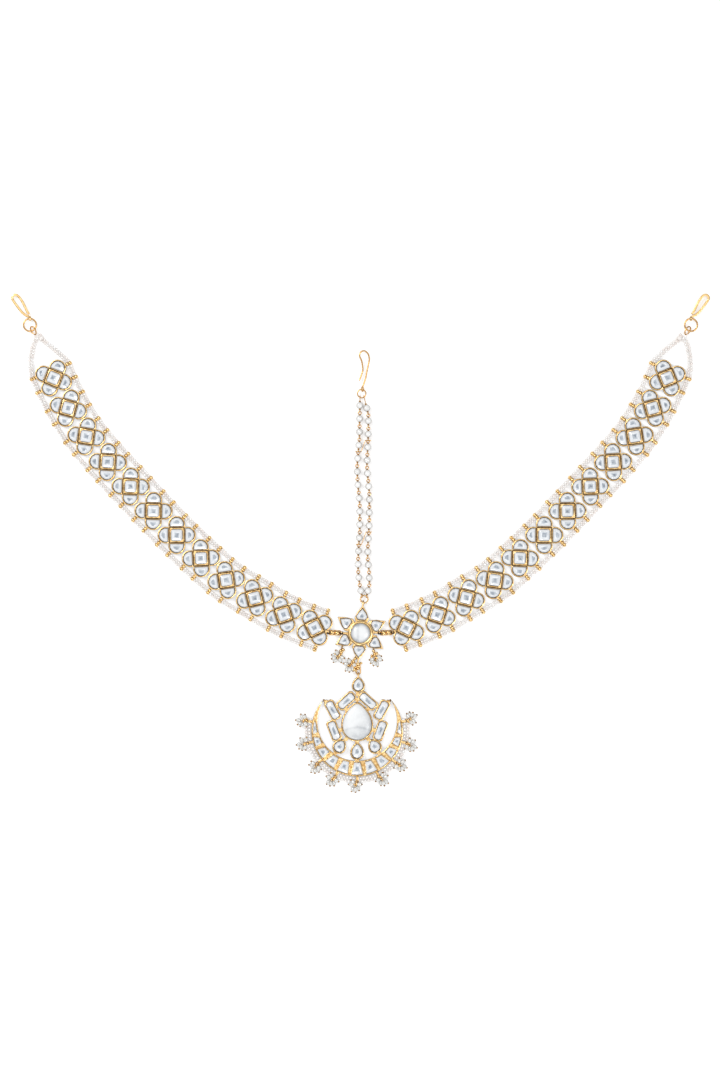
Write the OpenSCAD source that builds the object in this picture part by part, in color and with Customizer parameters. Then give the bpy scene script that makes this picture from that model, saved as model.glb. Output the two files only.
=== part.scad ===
// Matha patti: a bridal head jewel laid flat, seen from above as it is worn on the brow.
// Millimetres, X to the right, Y towards the hair, Z up from the surface it lies on.
// The origin is the middle of the star, on its flat back.

/* [Band] */
// Distance from one motif to the next along a band
motif_pitch = 14.05; // [13.9:0.05:15]
// Distance from the middle of the star to the first motif
first_motif_reach = 19.4; // [19.2:0.1:21]
// Distance from the middle of a motif to the middle of a lobe
lobe_reach = 4.5; // [4.4:0.05:4.6]
// Outer radius of a lobe
lobe_r = 3.55; // [3.4:0.05:3.6]
// Half the side of a motif's square bezel
square_half = 3.05; // [2.9:0.05:3.2]

/* [Settings] */
// Height of the soldered frames
frame_h = 2; // [1.8:0.1:2.4]
// Thickness of the metal under the stones
floor_h = 0.7; // [0.5:0.1:0.9]
// Wall of a bezel
wall = 0.5; // [0.4:0.05:0.6]
// Groove between neighbouring bezels
groove_w = 0.25; // [0.2:0.05:0.3]
// Height of a stone's table above its frame
table_rise = 0.6; // [0.4:0.1:1]
// Clearance between a stone and its pocket
stone_gap = 0.12; // [0.1:0.01:0.15]

/* [Edging] */
// Distance from a band's middle line to its bead strings
string_offset = 8.2; // [8.1:0.05:8.5]
// Distance along the band from a motif's middle to its knots
knot_step = 3.1; // [2.9:0.1:3.3]
// Width of the two rows of seed beads
string_w = 1.9; // [1.8:0.05:2.1]
// Height of a seed bead
string_h = 1.1; // [1:0.05:1.2]
// Length of a gold knot along its string
knot_l = 1.1; // [0.9:0.1:1.4]
// Diameter of the bare thread
thread_d = 0.3; // [0.2:0.05:0.4]

/* [Star] */
// Diameter of the round bezel
star_d = 9.8; // [9.4:0.1:10.2]
// Distance from the middle of the star to a petal's tip
petal_reach = 11.7; // [11.4:0.1:12]
// Widest part of a petal
petal_w = 6; // [5.6:0.1:6.2]
// Height of the round bezel
star_h = 3; // [2.6:0.1:3.6]
// Height of the domed stone above its bezel
star_dome = 1.5; // [1:0.1:2]

/* [Pendant] */
// Distance from the middle of the star to the middle of the crescent
pendant_drop = 41; // [40.8:0.1:42]
// Outer radius of the crescent
crescent_r = 19.2; // [19:0.1:19.5]
// Width of the crescent at its lowest point
crescent_w = 6.5; // [6.3:0.1:6.8]
// Width of the large pear bezel
pear_w = 13.5; // [13.3:0.1:13.8]
// Length of the large pear bezel
pear_l = 16.8; // [16.5:0.1:17]
// Height of the large pear stone above its bezel
pear_dome = 1.6; // [1:0.1:2]
// Length of a baguette bezel
baguette_l = 8.9; // [8.6:0.1:9]
// Width of a baguette bezel
baguette_w = 4.4; // [4.2:0.1:4.5]
// Diameter of the seed beads along the crescent
rim_bead_d = 1.1; // [1:0.05:1.2]

/* [Pearls and links] */
// Diameter of the pearls in the two strands
pearl_d = 2.9; // [2.6:0.05:2.95]
// Diameter of the small pearls in the fringes
drop_pearl_d = 1.9; // [1.6:0.1:2]
// Middle radius of a wire loop
loop_r = 0.65; // [0.62:0.01:0.68]
// Diameter of the strand wire
wire_d = 0.38; // [0.34:0.01:0.4]
// Diameter of a gold ball on the side links
ball_d = 1.75; // [1.6:0.05:1.8]

/* [Hooks] */
// Length of a side hook from its eye to its bend
hook_l = 12.1; // [11:0.1:13]
// Width of a side hook's strip
strip_w = 1; // [0.9:0.05:1.1]
// Middle radius of a side jump ring
side_ring_r = 2.65; // [2.5:0.05:2.8]
// Wire of a side jump ring
side_ring_wire = 0.7; // [0.6:0.05:0.75]
// Wire of the middle hook
middle_wire = 0.6; // [0.5:0.05:0.7]

/* [Hidden] */
$fn = 32;
motifs = 12;
pearls = 15;
eps = 0.01;
// How far a cut runs past what it cuts
past = 1;

// Direction of each step of the band, outward from the star, as it lies
band_turns = [6.5, 23, 30, 32, 41, 43.5, 46, 47, 47, 50, 57.5, 64];
first_turn = 19;
last_turn = 67;
// Level of threads, wires and eyelets, and of the two pearl strands
wire_z = 1.3;
strand_z = 1.5;

pocket_h = frame_h - floor_h + eps;
table_z = frame_h + table_rise;
stone_z = floor_h + stone_gap;
set_inset = wall + stone_gap;
// A pear's or petal's tip draws back further than its sides as its outline is inset
tip_draw = 2.4;
stone_draw = 2.6;
square_pocket = square_half - wall;
lobe_flat = square_half + groove_w + wall / 2;
square_corner = 0.9;

knot_gap = 0.15;
knot_wall = 0.35;
eye_r = 1;
eye_hole_r = 0.58;
eye_w = 0.7;
stem_h = 1.4;
link_wire = 0.5;
link_r = 0.9;
link_inner = 8;
link_outer = 6.1;
ball_step = 1.6;
ball_rise = 0.62;

petal_turns = [for (k = [0:5]) 60 * k];
petal_turn = 5;
petal_base = star_d / 2 - wall;
star_seat_r = star_d / 2 - 1.2 * wall;
pendant_x = -1.4;
// Angle of the crescent's tips from its lowest point
crescent_tip_turn = 133.5;
clusters = 9;
cluster_step = 25.3;
rim_tail = 4;
ring_wire = 0.5;
top_ring_r = 1.6;
tie_r = 1.15;
middle_ring_r = 1.75;

// Joints of the two pearl strands, from the middle ring down to the star's ring, as they lie
middle_ring = [0.5, 100.4];
left_x = [-0.2, -0.3, -0.4, -0.4, -0.9, -1.4, -1.3, -0.8, -0.3, -0.3, -0.3, -0.7, -1, -1, -0.4, 0.6];
right_x = [1.5, 3.3, 3.3, 3.2, 2.9, 2.7, 3.2, 3.7, 3.7, 3.7, 3.5, 3.1, 3, 3.6, 3.8, 2.6];
left_y = [92.7, 20.5];
right_y = [91.7, 20.4];
ties = [[4, 3], [11, 10]];

// Where both bead strings of a band meet, and the direction of its hook
apex = [136, 124.8];
apex_turn = 58.7;
// How far the outer and the inner string bow out on their way to it
apex_bow = [1.2, 0.4];

function unit(v) = v / norm(v);
function polar(r, a) = [r * cos(a), r * sin(a)];
function deep(p, z) = [p[0], p[1], z];
function mid(a, b, t = 0.5) = a * (1 - t) + b * t;
function side_of(v) = unit([-v[1], v[0], 0]);

// Places along the band
function motif_at(i) = i == 0
    ? polar(first_motif_reach, band_turns[0])
    : motif_at(i - 1) + polar(motif_pitch, band_turns[i]);
function motif_turn(i) = i == 0 ? first_turn
    : i == motifs - 1 ? last_turn
    : (band_turns[i] + band_turns[i + 1]) / 2;
motif_places = [for (i = [0:motifs - 1]) motif_at(i)];
function on_motif(i, p) = motif_places[i]
    + p[0] * polar(1, motif_turn(i)) + p[1] * polar(1, motif_turn(i) + 90);

// A smooth line through chosen points
function bend(a, b, c, d, t) = 0.5 * (2 * b + (c - a) * t
    + (2 * a - 5 * b + 4 * c - d) * t * t + (3 * b - a - 3 * c + d) * t * t * t);
function smooth(points, steps) = let (last = len(points) - 1) [
    for (i = [0:last - 1], k = [0:steps - 1])
        bend(points[max(i - 1, 0)], points[i], points[i + 1], points[min(i + 2, last)], k / steps),
    points[last]
];

// Outlines of stones and bezels, each drawn at a given inset from its bezel's outer edge
function square_outline(half, corner) = [
    for (q = [0:3], s = [-1, 1])
        let (a = 90 * q) half * polar(1, a) + s * (half - corner) * polar(1, a + 90)
];
function lobe_outline(inset, flat_gap, points = 8) =
    let (r = lobe_r - inset, x = lobe_flat + flat_gap - lobe_reach, a = acos(x / r))
    [for (i = [0:points - 1]) [lobe_reach, 0] + polar(r, -a + 2 * a * i / (points - 1))];
function petal_outline(inset) =
    let (base = petal_base + (inset > 0 ? 2 * wall : 0) + inset - wall,
         tip = petal_reach - tip_draw * inset,
         half = petal_w / 2 - inset, long = tip - base)
    [for (p = [[0, -0.55], [0.08, -0.8], [0.28, -1], [0.6, -0.68], [1, 0], [0.6, 0.68],
               [0.28, 1], [0.08, 0.8], [0, 0.55]])
        [base + p[0] * long, p[1] * half]];
function pear_side(a, sharp) = sin(a) * pow(abs(sin(a / 2)), sharp);
function pear_outline(w, l, n = 16, sharp = 0.45) =
    let (widest = max([for (a = [90:2:140]) pear_side(a, sharp)]))
    [for (i = [0:n - 1]) let (a = 360 * i / n) [-w / 2 * pear_side(a, sharp) / widest, l / 2 * cos(a)]];
function baguette_outline(inset, corner = 0.8) =
    let (x = baguette_l / 2 - inset, y = baguette_w / 2 - inset, c = corner)
    [[x, c - y], [x, y - c], [x - c, y], [c - x, y], [-x, y - c], [-x, c - y], [c - x, -y], [x - c, -y]];
// The crescent's inner edge is the circle through its tips and its lowest point
crescent_low = crescent_r - crescent_w;
crescent_tip = polar(crescent_r, crescent_tip_turn - 90);
crescent_rise = (pow(crescent_r, 2) - pow(crescent_low, 2)) / (2 * (crescent_low + crescent_tip[1]));
crescent_inner_r = crescent_low + crescent_rise;
function crescent_edge(a) =
    let (c = crescent_rise * cos(a)) sqrt(c * c + pow(crescent_inner_r, 2) - pow(crescent_rise, 2)) - c;
function crescent_outline(a, half, inset) = [
    for (p = [[0, -0.72], [0.5, -0.92], [1, -1], [1, 0], [1, 1], [0.5, 0.92], [0, 0.72], [0, 0]])
        let (t = a + (half - asin(max(inset - wall, 0) / crescent_edge(a))) * p[1],
             low = crescent_edge(t) + inset, high = crescent_r - inset)
        polar(low + p[0] * (high - low), t - 90)
];
// Angle from the lowest point, and half the angle of one stone
crescent_stones_at = concat([[0, 7.4]],
    [for (p = [[19.7, 7.2], [39.3, 7], [58, 6.4], [75.2, 6], [94, 8]], s = [-1, 1]) [s * p[0], p[1]]]);
// Middle and direction of each baguette, the outer ones by the crescent's tips
tip_bezel = [10.3, 8.6];
baguettes_at = [for (p = [[4.5, 12.5, -42], [tip_bezel[0], tip_bezel[1], 62], [9.7, 0, 69]], s = [-1, 1])
    [s * p[0], p[1], s * p[2]]];
// Middle, width, length and tilt of each small pear, the lower ones reaching to the crescent's inner edge
pear_seat = 0.3;
low_pear_top = 4.8;
side_pear_top = [5.4, -3.7];
side_pear_turn = 44.7;
side_pear_low = polar(crescent_edge(side_pear_turn) - 2 * pear_seat, side_pear_turn - 90);
side_pear = side_pear_top - side_pear_low;
low_pear_l = crescent_low - pear_seat - low_pear_top;
pears_at = concat([[0.5, 19.3, 5.5, 6.8, 0], [0, -low_pear_top - low_pear_l / 2, 5.8, low_pear_l, 0]],
    [for (s = [-1, 1]) let (p = mid(side_pear_top, side_pear_low))
        [s * p[0], p[1], 5.7, norm(side_pear), -s * atan2(side_pear[0], side_pear[1])]]);
large_pear = [0, 3.75, pear_w, pear_l, 0];
// Grains of solder where bezels meet
grain_r = 0.85;
grains_at = concat([[0.2, 15.4], [0, 12.9], [0, -low_pear_top], [0, -crescent_low]],
    [for (p = [[4.5, 8.9], [8.7, 10.2], [9.9, 4.3], [6.9, 0.3], [7.7, -3.9], [4.6, -3.5], side_pear_low],
          s = [-1, 1]) [s * p[0], p[1]]]);

// A cut stone with a girdle, a crown of facets and a flat table
module cut_stone(outline, z, top, girdle = 0.45, table = 0.55) {
    n = len(outline);
    centre = [for (k = [0, 1]) [for (p = outline) p[k]] * [for (p = outline) 1] / n];
    rings = [[z, 0.85], [mid(z, top, girdle), 1], [mid(z, top, 0.75), 0.86], [top, table]];
    points = [for (r = rings, p = outline) deep(mid(centre, p, r[1]), r[0])];
    polyhedron(points, shell_faces(n, len(rings)), convexity = 2);
}

function shell_faces(n, rings) = concat(
    [[for (i = [0:n - 1]) i]],
    [for (r = [0:rings - 2], i = [0:n - 1])
        [r * n + i, (r + 1) * n + i, (r + 1) * n + (i + 1) % n, r * n + (i + 1) % n]],
    [[for (i = [n - 1:-1:0]) (rings - 1) * n + i]]
);

// A domed stone
module domed_stone(outline, z, edge, top) {
    n = len(outline);
    centre = [for (k = [0, 1]) [for (p = outline) p[k]] * [for (p = outline) 1] / n];
    rings = [[z, 0.92], [edge, 1], [mid(edge, top, 0.55), 0.84], [mid(edge, top, 0.88), 0.52], [top, 0.16]];
    points = [for (r = rings, p = outline) deep(mid(centre, p, r[1]), r[0])];
    polyhedron(points, shell_faces(n, len(rings)), convexity = 2);
}

// A tube swept along a line, each ring given as [side radius, upright radius]
module tube(line, radii, sides = 8) {
    last = len(line) - 1;
    points = [for (i = [0:last])
        let (along = unit(line[min(i + 1, last)] - line[max(i - 1, 0)]),
             side = side_of(along), up = cross(along, side), r = radii[i])
        for (k = [0:sides - 1])
            let (a = 360 * (k + 0.5) / sides) line[i] + r[0] * cos(a) * side + r[1] * sin(a) * up];
    polyhedron(points, shell_faces(sides, last + 1), convexity = 6);
}

// A closed wire loop in the XY plane
module wire_loop(line, r, sides = 6) {
    n = len(line);
    points = [for (i = [0:n - 1])
        let (along = unit(line[(i + 1) % n] - line[(i + n - 1) % n]), side = side_of(along))
        for (k = [0:sides - 1])
            let (a = 360 * k / sides) line[i] + r * cos(a) * side + [0, 0, r * sin(a)]];
    faces = [for (i = [0:n - 1], k = [0:sides - 1])
        let (j = (i + 1) % n, m = (k + 1) % sides)
        [i * sides + k, j * sides + k, j * sides + m, i * sides + m]];
    polyhedron(points, faces, convexity = 6);
}

// Round wire ring, lying flat
module ring(r, wire) {
    rotate_extrude() translate([r, 0]) circle(d = wire, $fn = 16);
}

// Round bead with its hole along Z
module drilled_bead(d, hole) {
    rotate_extrude(convexity = 2) difference() {
        circle(d = d);
        translate([-d, -d]) square([d + hole / 2, 2 * d]);
    }
}

module at_turn(place, turn, z = 0) {
    translate([place[0], place[1], z]) rotate(turn) children();
}

module slab(z, h) {
    translate([0, 0, z]) linear_extrude(h) children();
}

// An upright eye that stands out along X, its hole across
module eye(reach) {
    translate([reach, 0, wire_z]) rotate([90, 0, 0]) cylinder(r = eye_r, h = eye_w, center = true);
}

module eye_stem(from, reach) {
    translate([from, -eye_w / 2, wire_z - stem_h / 2]) cube([reach - from, eye_w, stem_h]);
}

module eye_hole(reach) {
    translate([reach, 0, wire_z]) rotate([90, 0, 0])
        cylinder(r = eye_hole_r, h = eye_w + past, center = true);
}

// Motif with a square stone and four lobes, and a knot collar on each lobe
module motif_frame(first) {
    knot_w = string_w + 2 * (knot_gap + knot_wall);
    knot_h = string_h + 2 * (knot_gap + knot_wall);
    lobe_edge = lobe_reach * sin(45);
    difference() {
        union() {
            rotate(45) {
                slab(0, frame_h) square(2 * (square_half + groove_w), center = true);
                for (a = [0:90:270])
                    rotate(a) slab(0, frame_h) difference() {
                        translate([lobe_reach, 0]) circle(lobe_r, $fn = 48);
                        translate([-lobe_r, -lobe_r]) square([lobe_r + square_half, 2 * lobe_r]);
                    }
            }
            for (s = [-1, 1], t = [-1, 1]) {
                translate([s * knot_step, t * string_offset, wire_z])
                    cube([knot_l, knot_w, knot_h], center = true);
                translate([s * knot_step - knot_l / 2, t > 0 ? lobe_edge : -string_offset,
                           wire_z - knot_h / 2])
                    cube([knot_l, string_offset - lobe_edge, knot_h - knot_wall]);
            }
            if (first) {
                eye_stem(-link_outer, -square_half);
                eye(-link_outer);
            }
        }
        rotate(45) {
            slab(floor_h, pocket_h) polygon(square_outline(square_pocket, square_corner));
            slab(floor_h, pocket_h) difference() {
                square(2 * (square_half + groove_w), center = true);
                square(2 * square_half, center = true);
            }
            for (a = [0:90:270])
                rotate(a) slab(floor_h, pocket_h) intersection() {
                    translate([lobe_reach, 0]) circle(lobe_r - wall, $fn = 48);
                    translate([lobe_flat, -lobe_r]) square(2 * lobe_r);
                }
        }
        for (s = [-1, 1], t = [-1, 1])
            translate([s * knot_step, t * string_offset, wire_z])
                cube([knot_l + past, string_w + 2 * knot_gap, string_h + 2 * knot_gap], center = true);
        if (first) eye_hole(-link_outer);
    }
}

module band_frame(i) {
    color("goldenrod") at_turn(motif_places[i], motif_turn(i)) motif_frame(first = i == 0);
}

// All the stones of one band
module band_stones() {
    color("lightsteelblue") for (i = [0:motifs - 1])
        at_turn(motif_places[i], motif_turn(i) + 45) {
            cut_stone(square_outline(square_pocket - stone_gap, square_corner), stone_z, table_z);
            for (a = [0:90:270])
                rotate(a) cut_stone(lobe_outline(set_inset, stone_gap), stone_z, table_z);
        }
}

// One thread of seed beads along both edges of a band, passed through the bail at its apex
string_in = concat([on_motif(motifs - 1, [knot_step + knot_l, string_offset])],
    [for (i = [motifs - 1:-1:0], s = [1, -1]) on_motif(i, [s * knot_step, string_offset])]);
string_out = concat(
    [for (i = [0:motifs - 1], s = [-1, 1]) on_motif(i, [s * knot_step, -string_offset])],
    [on_motif(motifs - 1, [knot_step + knot_l, -string_offset])]);
out_side = unit(apex - string_out[len(string_out) - 1]);
in_side = unit(apex - string_in[0]);
// Where the last beads end and where the bare thread begins, measured from the apex
string_taper = 1.4;
thread_start = 0.9;
bail_start = 0.2;
// The thread's way round through the bail, along and across its direction
thread_round = [[0.5, -1], [1.15, -0.6], [1.35, 0], [1.15, 0.6], [0.5, 1]];

function bowed(a, b, bow, shares) = [
    for (t = shares) mid(a, b, t) + 4 * t * (1 - t) * bow * unit([-(b - a)[1], (b - a)[0]])
];

module bead_string() {
    beads = [string_w / 2, string_h / 2];
    thread = [thread_d / 2, thread_d / 2];
    out_end = apex - string_taper * out_side;
    in_end = apex - string_taper * in_side;
    flat_line = concat(
        string_out,
        bowed(string_out[len(string_out) - 1], out_end, -apex_bow[0], [0.25, 0.5, 0.75, 1]),
        [apex - thread_start * out_side],
        [for (p = thread_round) apex + p[0] * polar(1, apex_turn) + p[1] * polar(1, apex_turn + 90)],
        [apex - thread_start * in_side],
        bowed(in_end, string_in[0], -apex_bow[1], [0, 0.25, 0.5, 0.75]),
        string_in);
    bare = len(string_out) + 3;
    bare_end = bare + len(thread_round) + 3;
    line = [for (p = flat_line) deep(p, wire_z)];
    radii = [for (i = [0:len(line) - 1]) i > bare && i < bare_end ? thread : beads];
    color("antiquewhite") tube(line, radii);
}

// Star of a round bezel and six pointed petals
module star_frame() {
    top_turn = 90 - petal_turn;
    color("goldenrod") difference() {
        union() {
            slab(0, star_h) circle(d = star_d, $fn = 64);
            for (a = petal_turns) rotate(top_turn + a) slab(0, frame_h) polygon(petal_outline(0));
            for (a = [0, 180]) rotate(a) {
                eye_stem(petal_base, link_inner);
                eye(link_inner);
            }
            for (a = [0, 180]) rotate(top_turn + a) {
                eye_stem(petal_reach - 2 * wall, petal_reach + eye_r);
                eye(petal_reach + eye_r);
            }
            for (h = star_hubs) star_hub(h);
        }
        slab(floor_h, star_h) circle(star_seat_r, $fn = 64);
        for (a = petal_turns)
            rotate(top_turn + a) slab(floor_h, pocket_h) polygon(petal_outline(wall));
        for (a = [0, 180]) rotate(a) eye_hole(link_inner);
        for (a = [0, 180]) rotate(top_turn + a) eye_hole(petal_reach + eye_r);
        for (h = star_hubs) hub_hole(h[0]);
    }
}

module star_centre_stone() {
    points = 16;
    color("gainsboro")
        domed_stone([for (i = [0:points - 1]) polar(star_seat_r - stone_gap, 360 * i / points)],
            stone_z, star_h, star_h + star_dome);
}

module star_petal_stones() {
    color("lightsteelblue") for (a = petal_turns)
        rotate(90 - petal_turn + a) cut_stone(petal_outline(set_inset), stone_z, table_z);
}

// Flat ring that a drop cluster hangs from, on a strip from the frame
hub_r = 0.8;
hub_hole_r = 0.42;
hub_h = 0.45;
drop_ring_r = 0.65;
drop_wire = 0.36;
drop_ball_r = 0.42;
pin_d = 0.3;
pin_start = 0.3;
pin_end = drop_pearl_d * 0.62;
pin_head_r = 0.27;
// Direction of each pin of a cluster, and how far out its pearl sits
drops = [[-60, 1.8], [0, 2.3], [60, 1.8]];
// Turn of each rim cluster from straight outwards, as it lies
cluster_turns = [8, -5, 15, -25, -30, 30, 15, -10, 20];
// Each hub of the star: its place and direction, then the petal its strip begins on, and where along
// and across that petal
star_hubs = [for (h = [[[-8.4, -8.6], 232, 2, 9, 1.55], [[-3.4, -12.2], 232, 3, 10, -0.95],
        [[6, -9.4], 285, 4, 8, -2.05]])
    let (a = 90 - petal_turn + petal_turns[h[2]]) [h[0], h[1], polar(h[3], a) + polar(h[4], a + 90)]];

module strip(a, b, w) {
    v = b - a;
    translate([a[0], a[1], wire_z - hub_h / 2]) rotate(atan2(v[1], v[0]))
        translate([0, -w / 2, 0]) cube([norm(v), w, hub_h]);
}

module star_hub(h) {
    translate([h[0][0], h[0][1], wire_z]) cylinder(r = hub_r, h = hub_h, center = true);
    strip(h[2], h[0], 2 * drop_wire);
}

module hub_hole(p) {
    translate([p[0], p[1], wire_z]) cylinder(r = hub_hole_r, h = hub_h + past, center = true);
}

// Small ring through a hub with three pearls on headed pins, which begin inside the ball that joins them
module drop_cluster() {
    translate([drop_ring_r, 0, wire_z]) {
        rotate([90, 0, 0]) ring(drop_ring_r, drop_wire);
        translate([drop_ring_r, 0, 0]) {
            rotate([90, 0, 0]) rotate(180) sphere(drop_ball_r);
            for (d = drops) rotate(d[0]) rotate([0, 90, 0]) {
                translate([0, 0, pin_start]) cylinder(d = pin_d, h = d[1] + pin_end - pin_start);
                translate([0, 0, d[1]]) sphere(d = drop_pearl_d);
                translate([0, 0, d[1] + pin_end]) sphere(pin_head_r);
            }
        }
    }
}

module star_fringe() {
    color("ivory") for (h = star_hubs) at_turn(h[0], h[1]) drop_cluster();
}

// Link between the star and a band, with two gold balls on it
module long_link(from, to) {
    v = to - from;
    long = norm(v);
    translate([from[0], from[1], wire_z]) rotate(atan2(v[1], v[0])) {
        for (s = [0, 1])
            translate([s * (long - 2 * link_r) + link_r, 0, 0]) rotate(s ? -90 : 90)
                rotate_extrude(angle = 180) translate([link_r, 0]) circle(d = link_wire, $fn = 16);
        for (t = [-1, 1])
            translate([link_r, t * link_r, 0]) rotate([0, 90, 0])
                cylinder(d = link_wire, h = long - 2 * link_r, $fn = 16);
    }
}

module side_link() {
    from = [link_inner, 0];
    to = on_motif(0, [-link_outer, 0]);
    color("goldenrod") {
        long_link(from, to);
        for (s = [-1, 1])
            translate(deep(mid(from, to) + s * ball_step / 2 * unit(to - from), wire_z + ball_rise))
                sphere(d = ball_d);
    }
}

// Pendant of a crescent, six baguettes and pears round a large pear
module at_pendant() {
    translate([pendant_x, -pendant_drop]) children();
}

drop_eye = [0.5, 23.6];
star_low_eye = polar(petal_reach + eye_r, 270 - petal_turn);

module pear_plate(p, inset) {
    translate([p[0], p[1]]) rotate(p[4]) polygon(pear_outline(p[2] - 2 * inset, p[3] - tip_draw * inset));
}

// Solder between the outer baguettes and the crescent's tips
module tip_bar(from, to) {
    v = to - from;
    translate(from) rotate(atan2(v[1], v[0])) translate([0, -grain_r])
        square([norm(v) - grain_r, 2 * grain_r]);
}

module pendant_frame() {
    rim_hole = rim_bead_d / 2 + knot_gap;
    color("goldenrod") at_pendant() difference() {
        union() {
            slab(0, frame_h) {
                difference() {
                    circle(crescent_r, $fn = 96);
                    translate([0, crescent_rise]) circle(crescent_inner_r, $fn = 96);
                }
                for (p = concat(pears_at, [large_pear])) pear_plate(p, 0);
                for (b = baguettes_at) translate([b[0], b[1]]) rotate(b[2]) polygon(baguette_outline(0));
                for (p = grains_at) translate(p) circle(grain_r);
                for (s = [-1, 1])
                    tip_bar([s * tip_bezel[0], tip_bezel[1]], [s * crescent_tip[0], crescent_tip[1]]);
            }
            for (k = [0:clusters - 1]) rotate(rim_turn(k)) {
                translate([crescent_r - wall / 2, -knot_l / 2, wire_z - rim_hole - knot_wall])
                    cube([2 * rim_hole + knot_wall + wall / 2, knot_l, 2 * (rim_hole + knot_wall)]);
                translate([hub_reach, 0, wire_z]) cylinder(r = hub_r, h = hub_h, center = true);
            }
            translate([drop_eye[0], 0]) rotate(90) {
                eye_stem(pears_at[0][1] + pears_at[0][3] / 2 - wall, drop_eye[1]);
                eye(drop_eye[1]);
            }
        }
        for (a = crescent_stones_at)
            slab(floor_h, pocket_h) polygon(crescent_outline(a[0], a[1], wall));
        for (p = concat(pears_at, [large_pear])) slab(floor_h, pocket_h) pear_plate(p, wall);
        for (b = baguettes_at)
            at_turn(b, b[2]) slab(floor_h, pocket_h) polygon(baguette_outline(wall));
        for (k = [0:clusters - 1]) rotate(rim_turn(k)) {
            translate([rim_reach, 0, wire_z]) rotate([90, 0, 0])
                cylinder(r = rim_hole, h = knot_l + past, center = true);
            hub_hole([hub_reach, 0]);
        }
        translate([drop_eye[0], 0]) rotate(90) eye_hole(drop_eye[1]);
    }
}

rim_reach = crescent_r + knot_gap + rim_bead_d / 2;
hub_reach = rim_reach + rim_bead_d / 2 + knot_gap + hub_r;
function rim_turn(k) = -90 + (k - (clusters - 1) / 2) * cluster_step;

module rim_string() {
    ends = (clusters - 1) / 2 * cluster_step + rim_tail;
    steps = 48;
    line = [for (i = [0:steps])
        deep(polar(rim_reach, -90 - ends + 2 * ends * i / steps), wire_z)];
    color("antiquewhite") at_pendant()
        tube(line, [for (p = line) [rim_bead_d / 2, rim_bead_d / 2]]);
}

module pendant_fringe() {
    color("ivory") at_pendant() for (k = [0:clusters - 1])
        rotate(rim_turn(k)) translate([hub_reach, 0]) rotate(cluster_turns[k]) drop_cluster();
}

module pendant_centre_stone() {
    color("gainsboro") at_pendant() translate([large_pear[0], large_pear[1]])
        domed_stone(pear_outline(pear_w - 2 * set_inset, pear_l - stone_draw * set_inset, 20),
            stone_z, frame_h, frame_h + pear_dome);
}

module pendant_pears() {
    color("lightsteelblue") at_pendant() for (p = pears_at)
        at_turn(p, p[4]) cut_stone(
            pear_outline(p[2] - 2 * set_inset, p[3] - stone_draw * set_inset, 10), stone_z, table_z);
}

module pendant_baguettes() {
    color("lightsteelblue") at_pendant() for (b = baguettes_at)
        at_turn(b, b[2]) cut_stone(baguette_outline(set_inset), stone_z, table_z);
}

module crescent_stones() {
    color("lightsteelblue") at_pendant() for (a = crescent_stones_at)
        cut_stone(crescent_outline(a[0], a[1], set_inset), stone_z, table_z);
}

module pendant_link() {
    color("goldenrod") long_link(star_low_eye, drop_eye + [pendant_x, -pendant_drop]);
}

// The two pearl strands
function top_joint(x) = [x, middle_ring[1] - sqrt(pow(middle_ring_r, 2) - pow(x - middle_ring[0], 2))];
function low_joint(x) = [x, star_ring[1] + sqrt(pow(top_ring_r, 2) - pow(x - star_ring[0], 2))];
function strand(x, y) = [for (i = [0:pearls])
    i == 0 ? top_joint(x[0])
    : i == pearls ? low_joint(x[pearls])
    : [x[i], mid(y[0], y[1], (i - 1) / (pearls - 2))]];
star_ring_turn = 72;
star_ring = polar(petal_reach + eye_r, 90 - petal_turn) + polar(top_ring_r, star_ring_turn);
left_joints = strand(left_x, left_y);
right_joints = strand(right_x, right_y);
hang = 2 * loop_r - wire_d - stone_gap;
stem_d = wire_d * 0.85;
pearl_pitch = (left_y[0] - left_y[1]) / (pearls - 2);

// Middles of the two loops of a link, from its lower joint
function loop_low(i) = i == pearls - 1 ? 0 : hang / 2;
function loop_high(joints, i) = norm(joints[i] - joints[i + 1]) - (i == 0 ? 0 : hang / 2);
function seat(joints, i) = i == 0 ? pearl_pitch / 2 : (loop_low(i) + loop_high(joints, i)) / 2;

// Placed so that X runs up a link from its lower joint
module on_link(joints, i) {
    v = joints[i] - joints[i + 1];
    at_turn(joints[i + 1], atan2(v[1], v[0]), strand_z) children();
}

module strand_pearls(joints) {
    color("ivory") for (i = [0:pearls - 1]) on_link(joints, i)
        translate([seat(joints, i), 0, 0]) rotate([0, 90, 0])
            drilled_bead(pearl_d, wire_d + 2 * stone_gap);
}

module strand_wires(joints) {
    color("goldenrod") for (i = [0:pearls - 1]) on_link(joints, i) {
        low = loop_low(i);
        high = loop_high(joints, i);
        translate([low, 0, 0]) rotate([90, 0, 0]) ring(loop_r, wire_d);
        translate([high, 0, 0]) rotate([i == 0 ? 90 : 0, 0, 0]) ring(loop_r, wire_d);
        translate([low + loop_r, 0, 0]) rotate([0, 90, 0])
            cylinder(d = stem_d, h = high - low - 2 * loop_r, $fn = 16);
    }
}

// Rings round the joints of both strands, joined by a straight wire
module strand_ties() {
    color("goldenrod") for (t = ties) {
        a = left_joints[t[0]];
        b = right_joints[t[1]];
        from = a + [tie_r, 0];
        to = b - [tie_r, 0];
        for (p = [a, b]) translate(deep(p, strand_z)) rotate([90, 0, 0]) ring(tie_r, wire_d);
        at_turn(from, atan2((to - from)[1], (to - from)[0]), strand_z) rotate([0, 90, 0])
            cylinder(d = stem_d, h = norm(to - from), $fn = 16);
    }
}

module star_top_ring() {
    color("goldenrod") translate(deep(star_ring, mid(wire_z, strand_z))) ring(top_ring_r, ring_wire);
}

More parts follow.
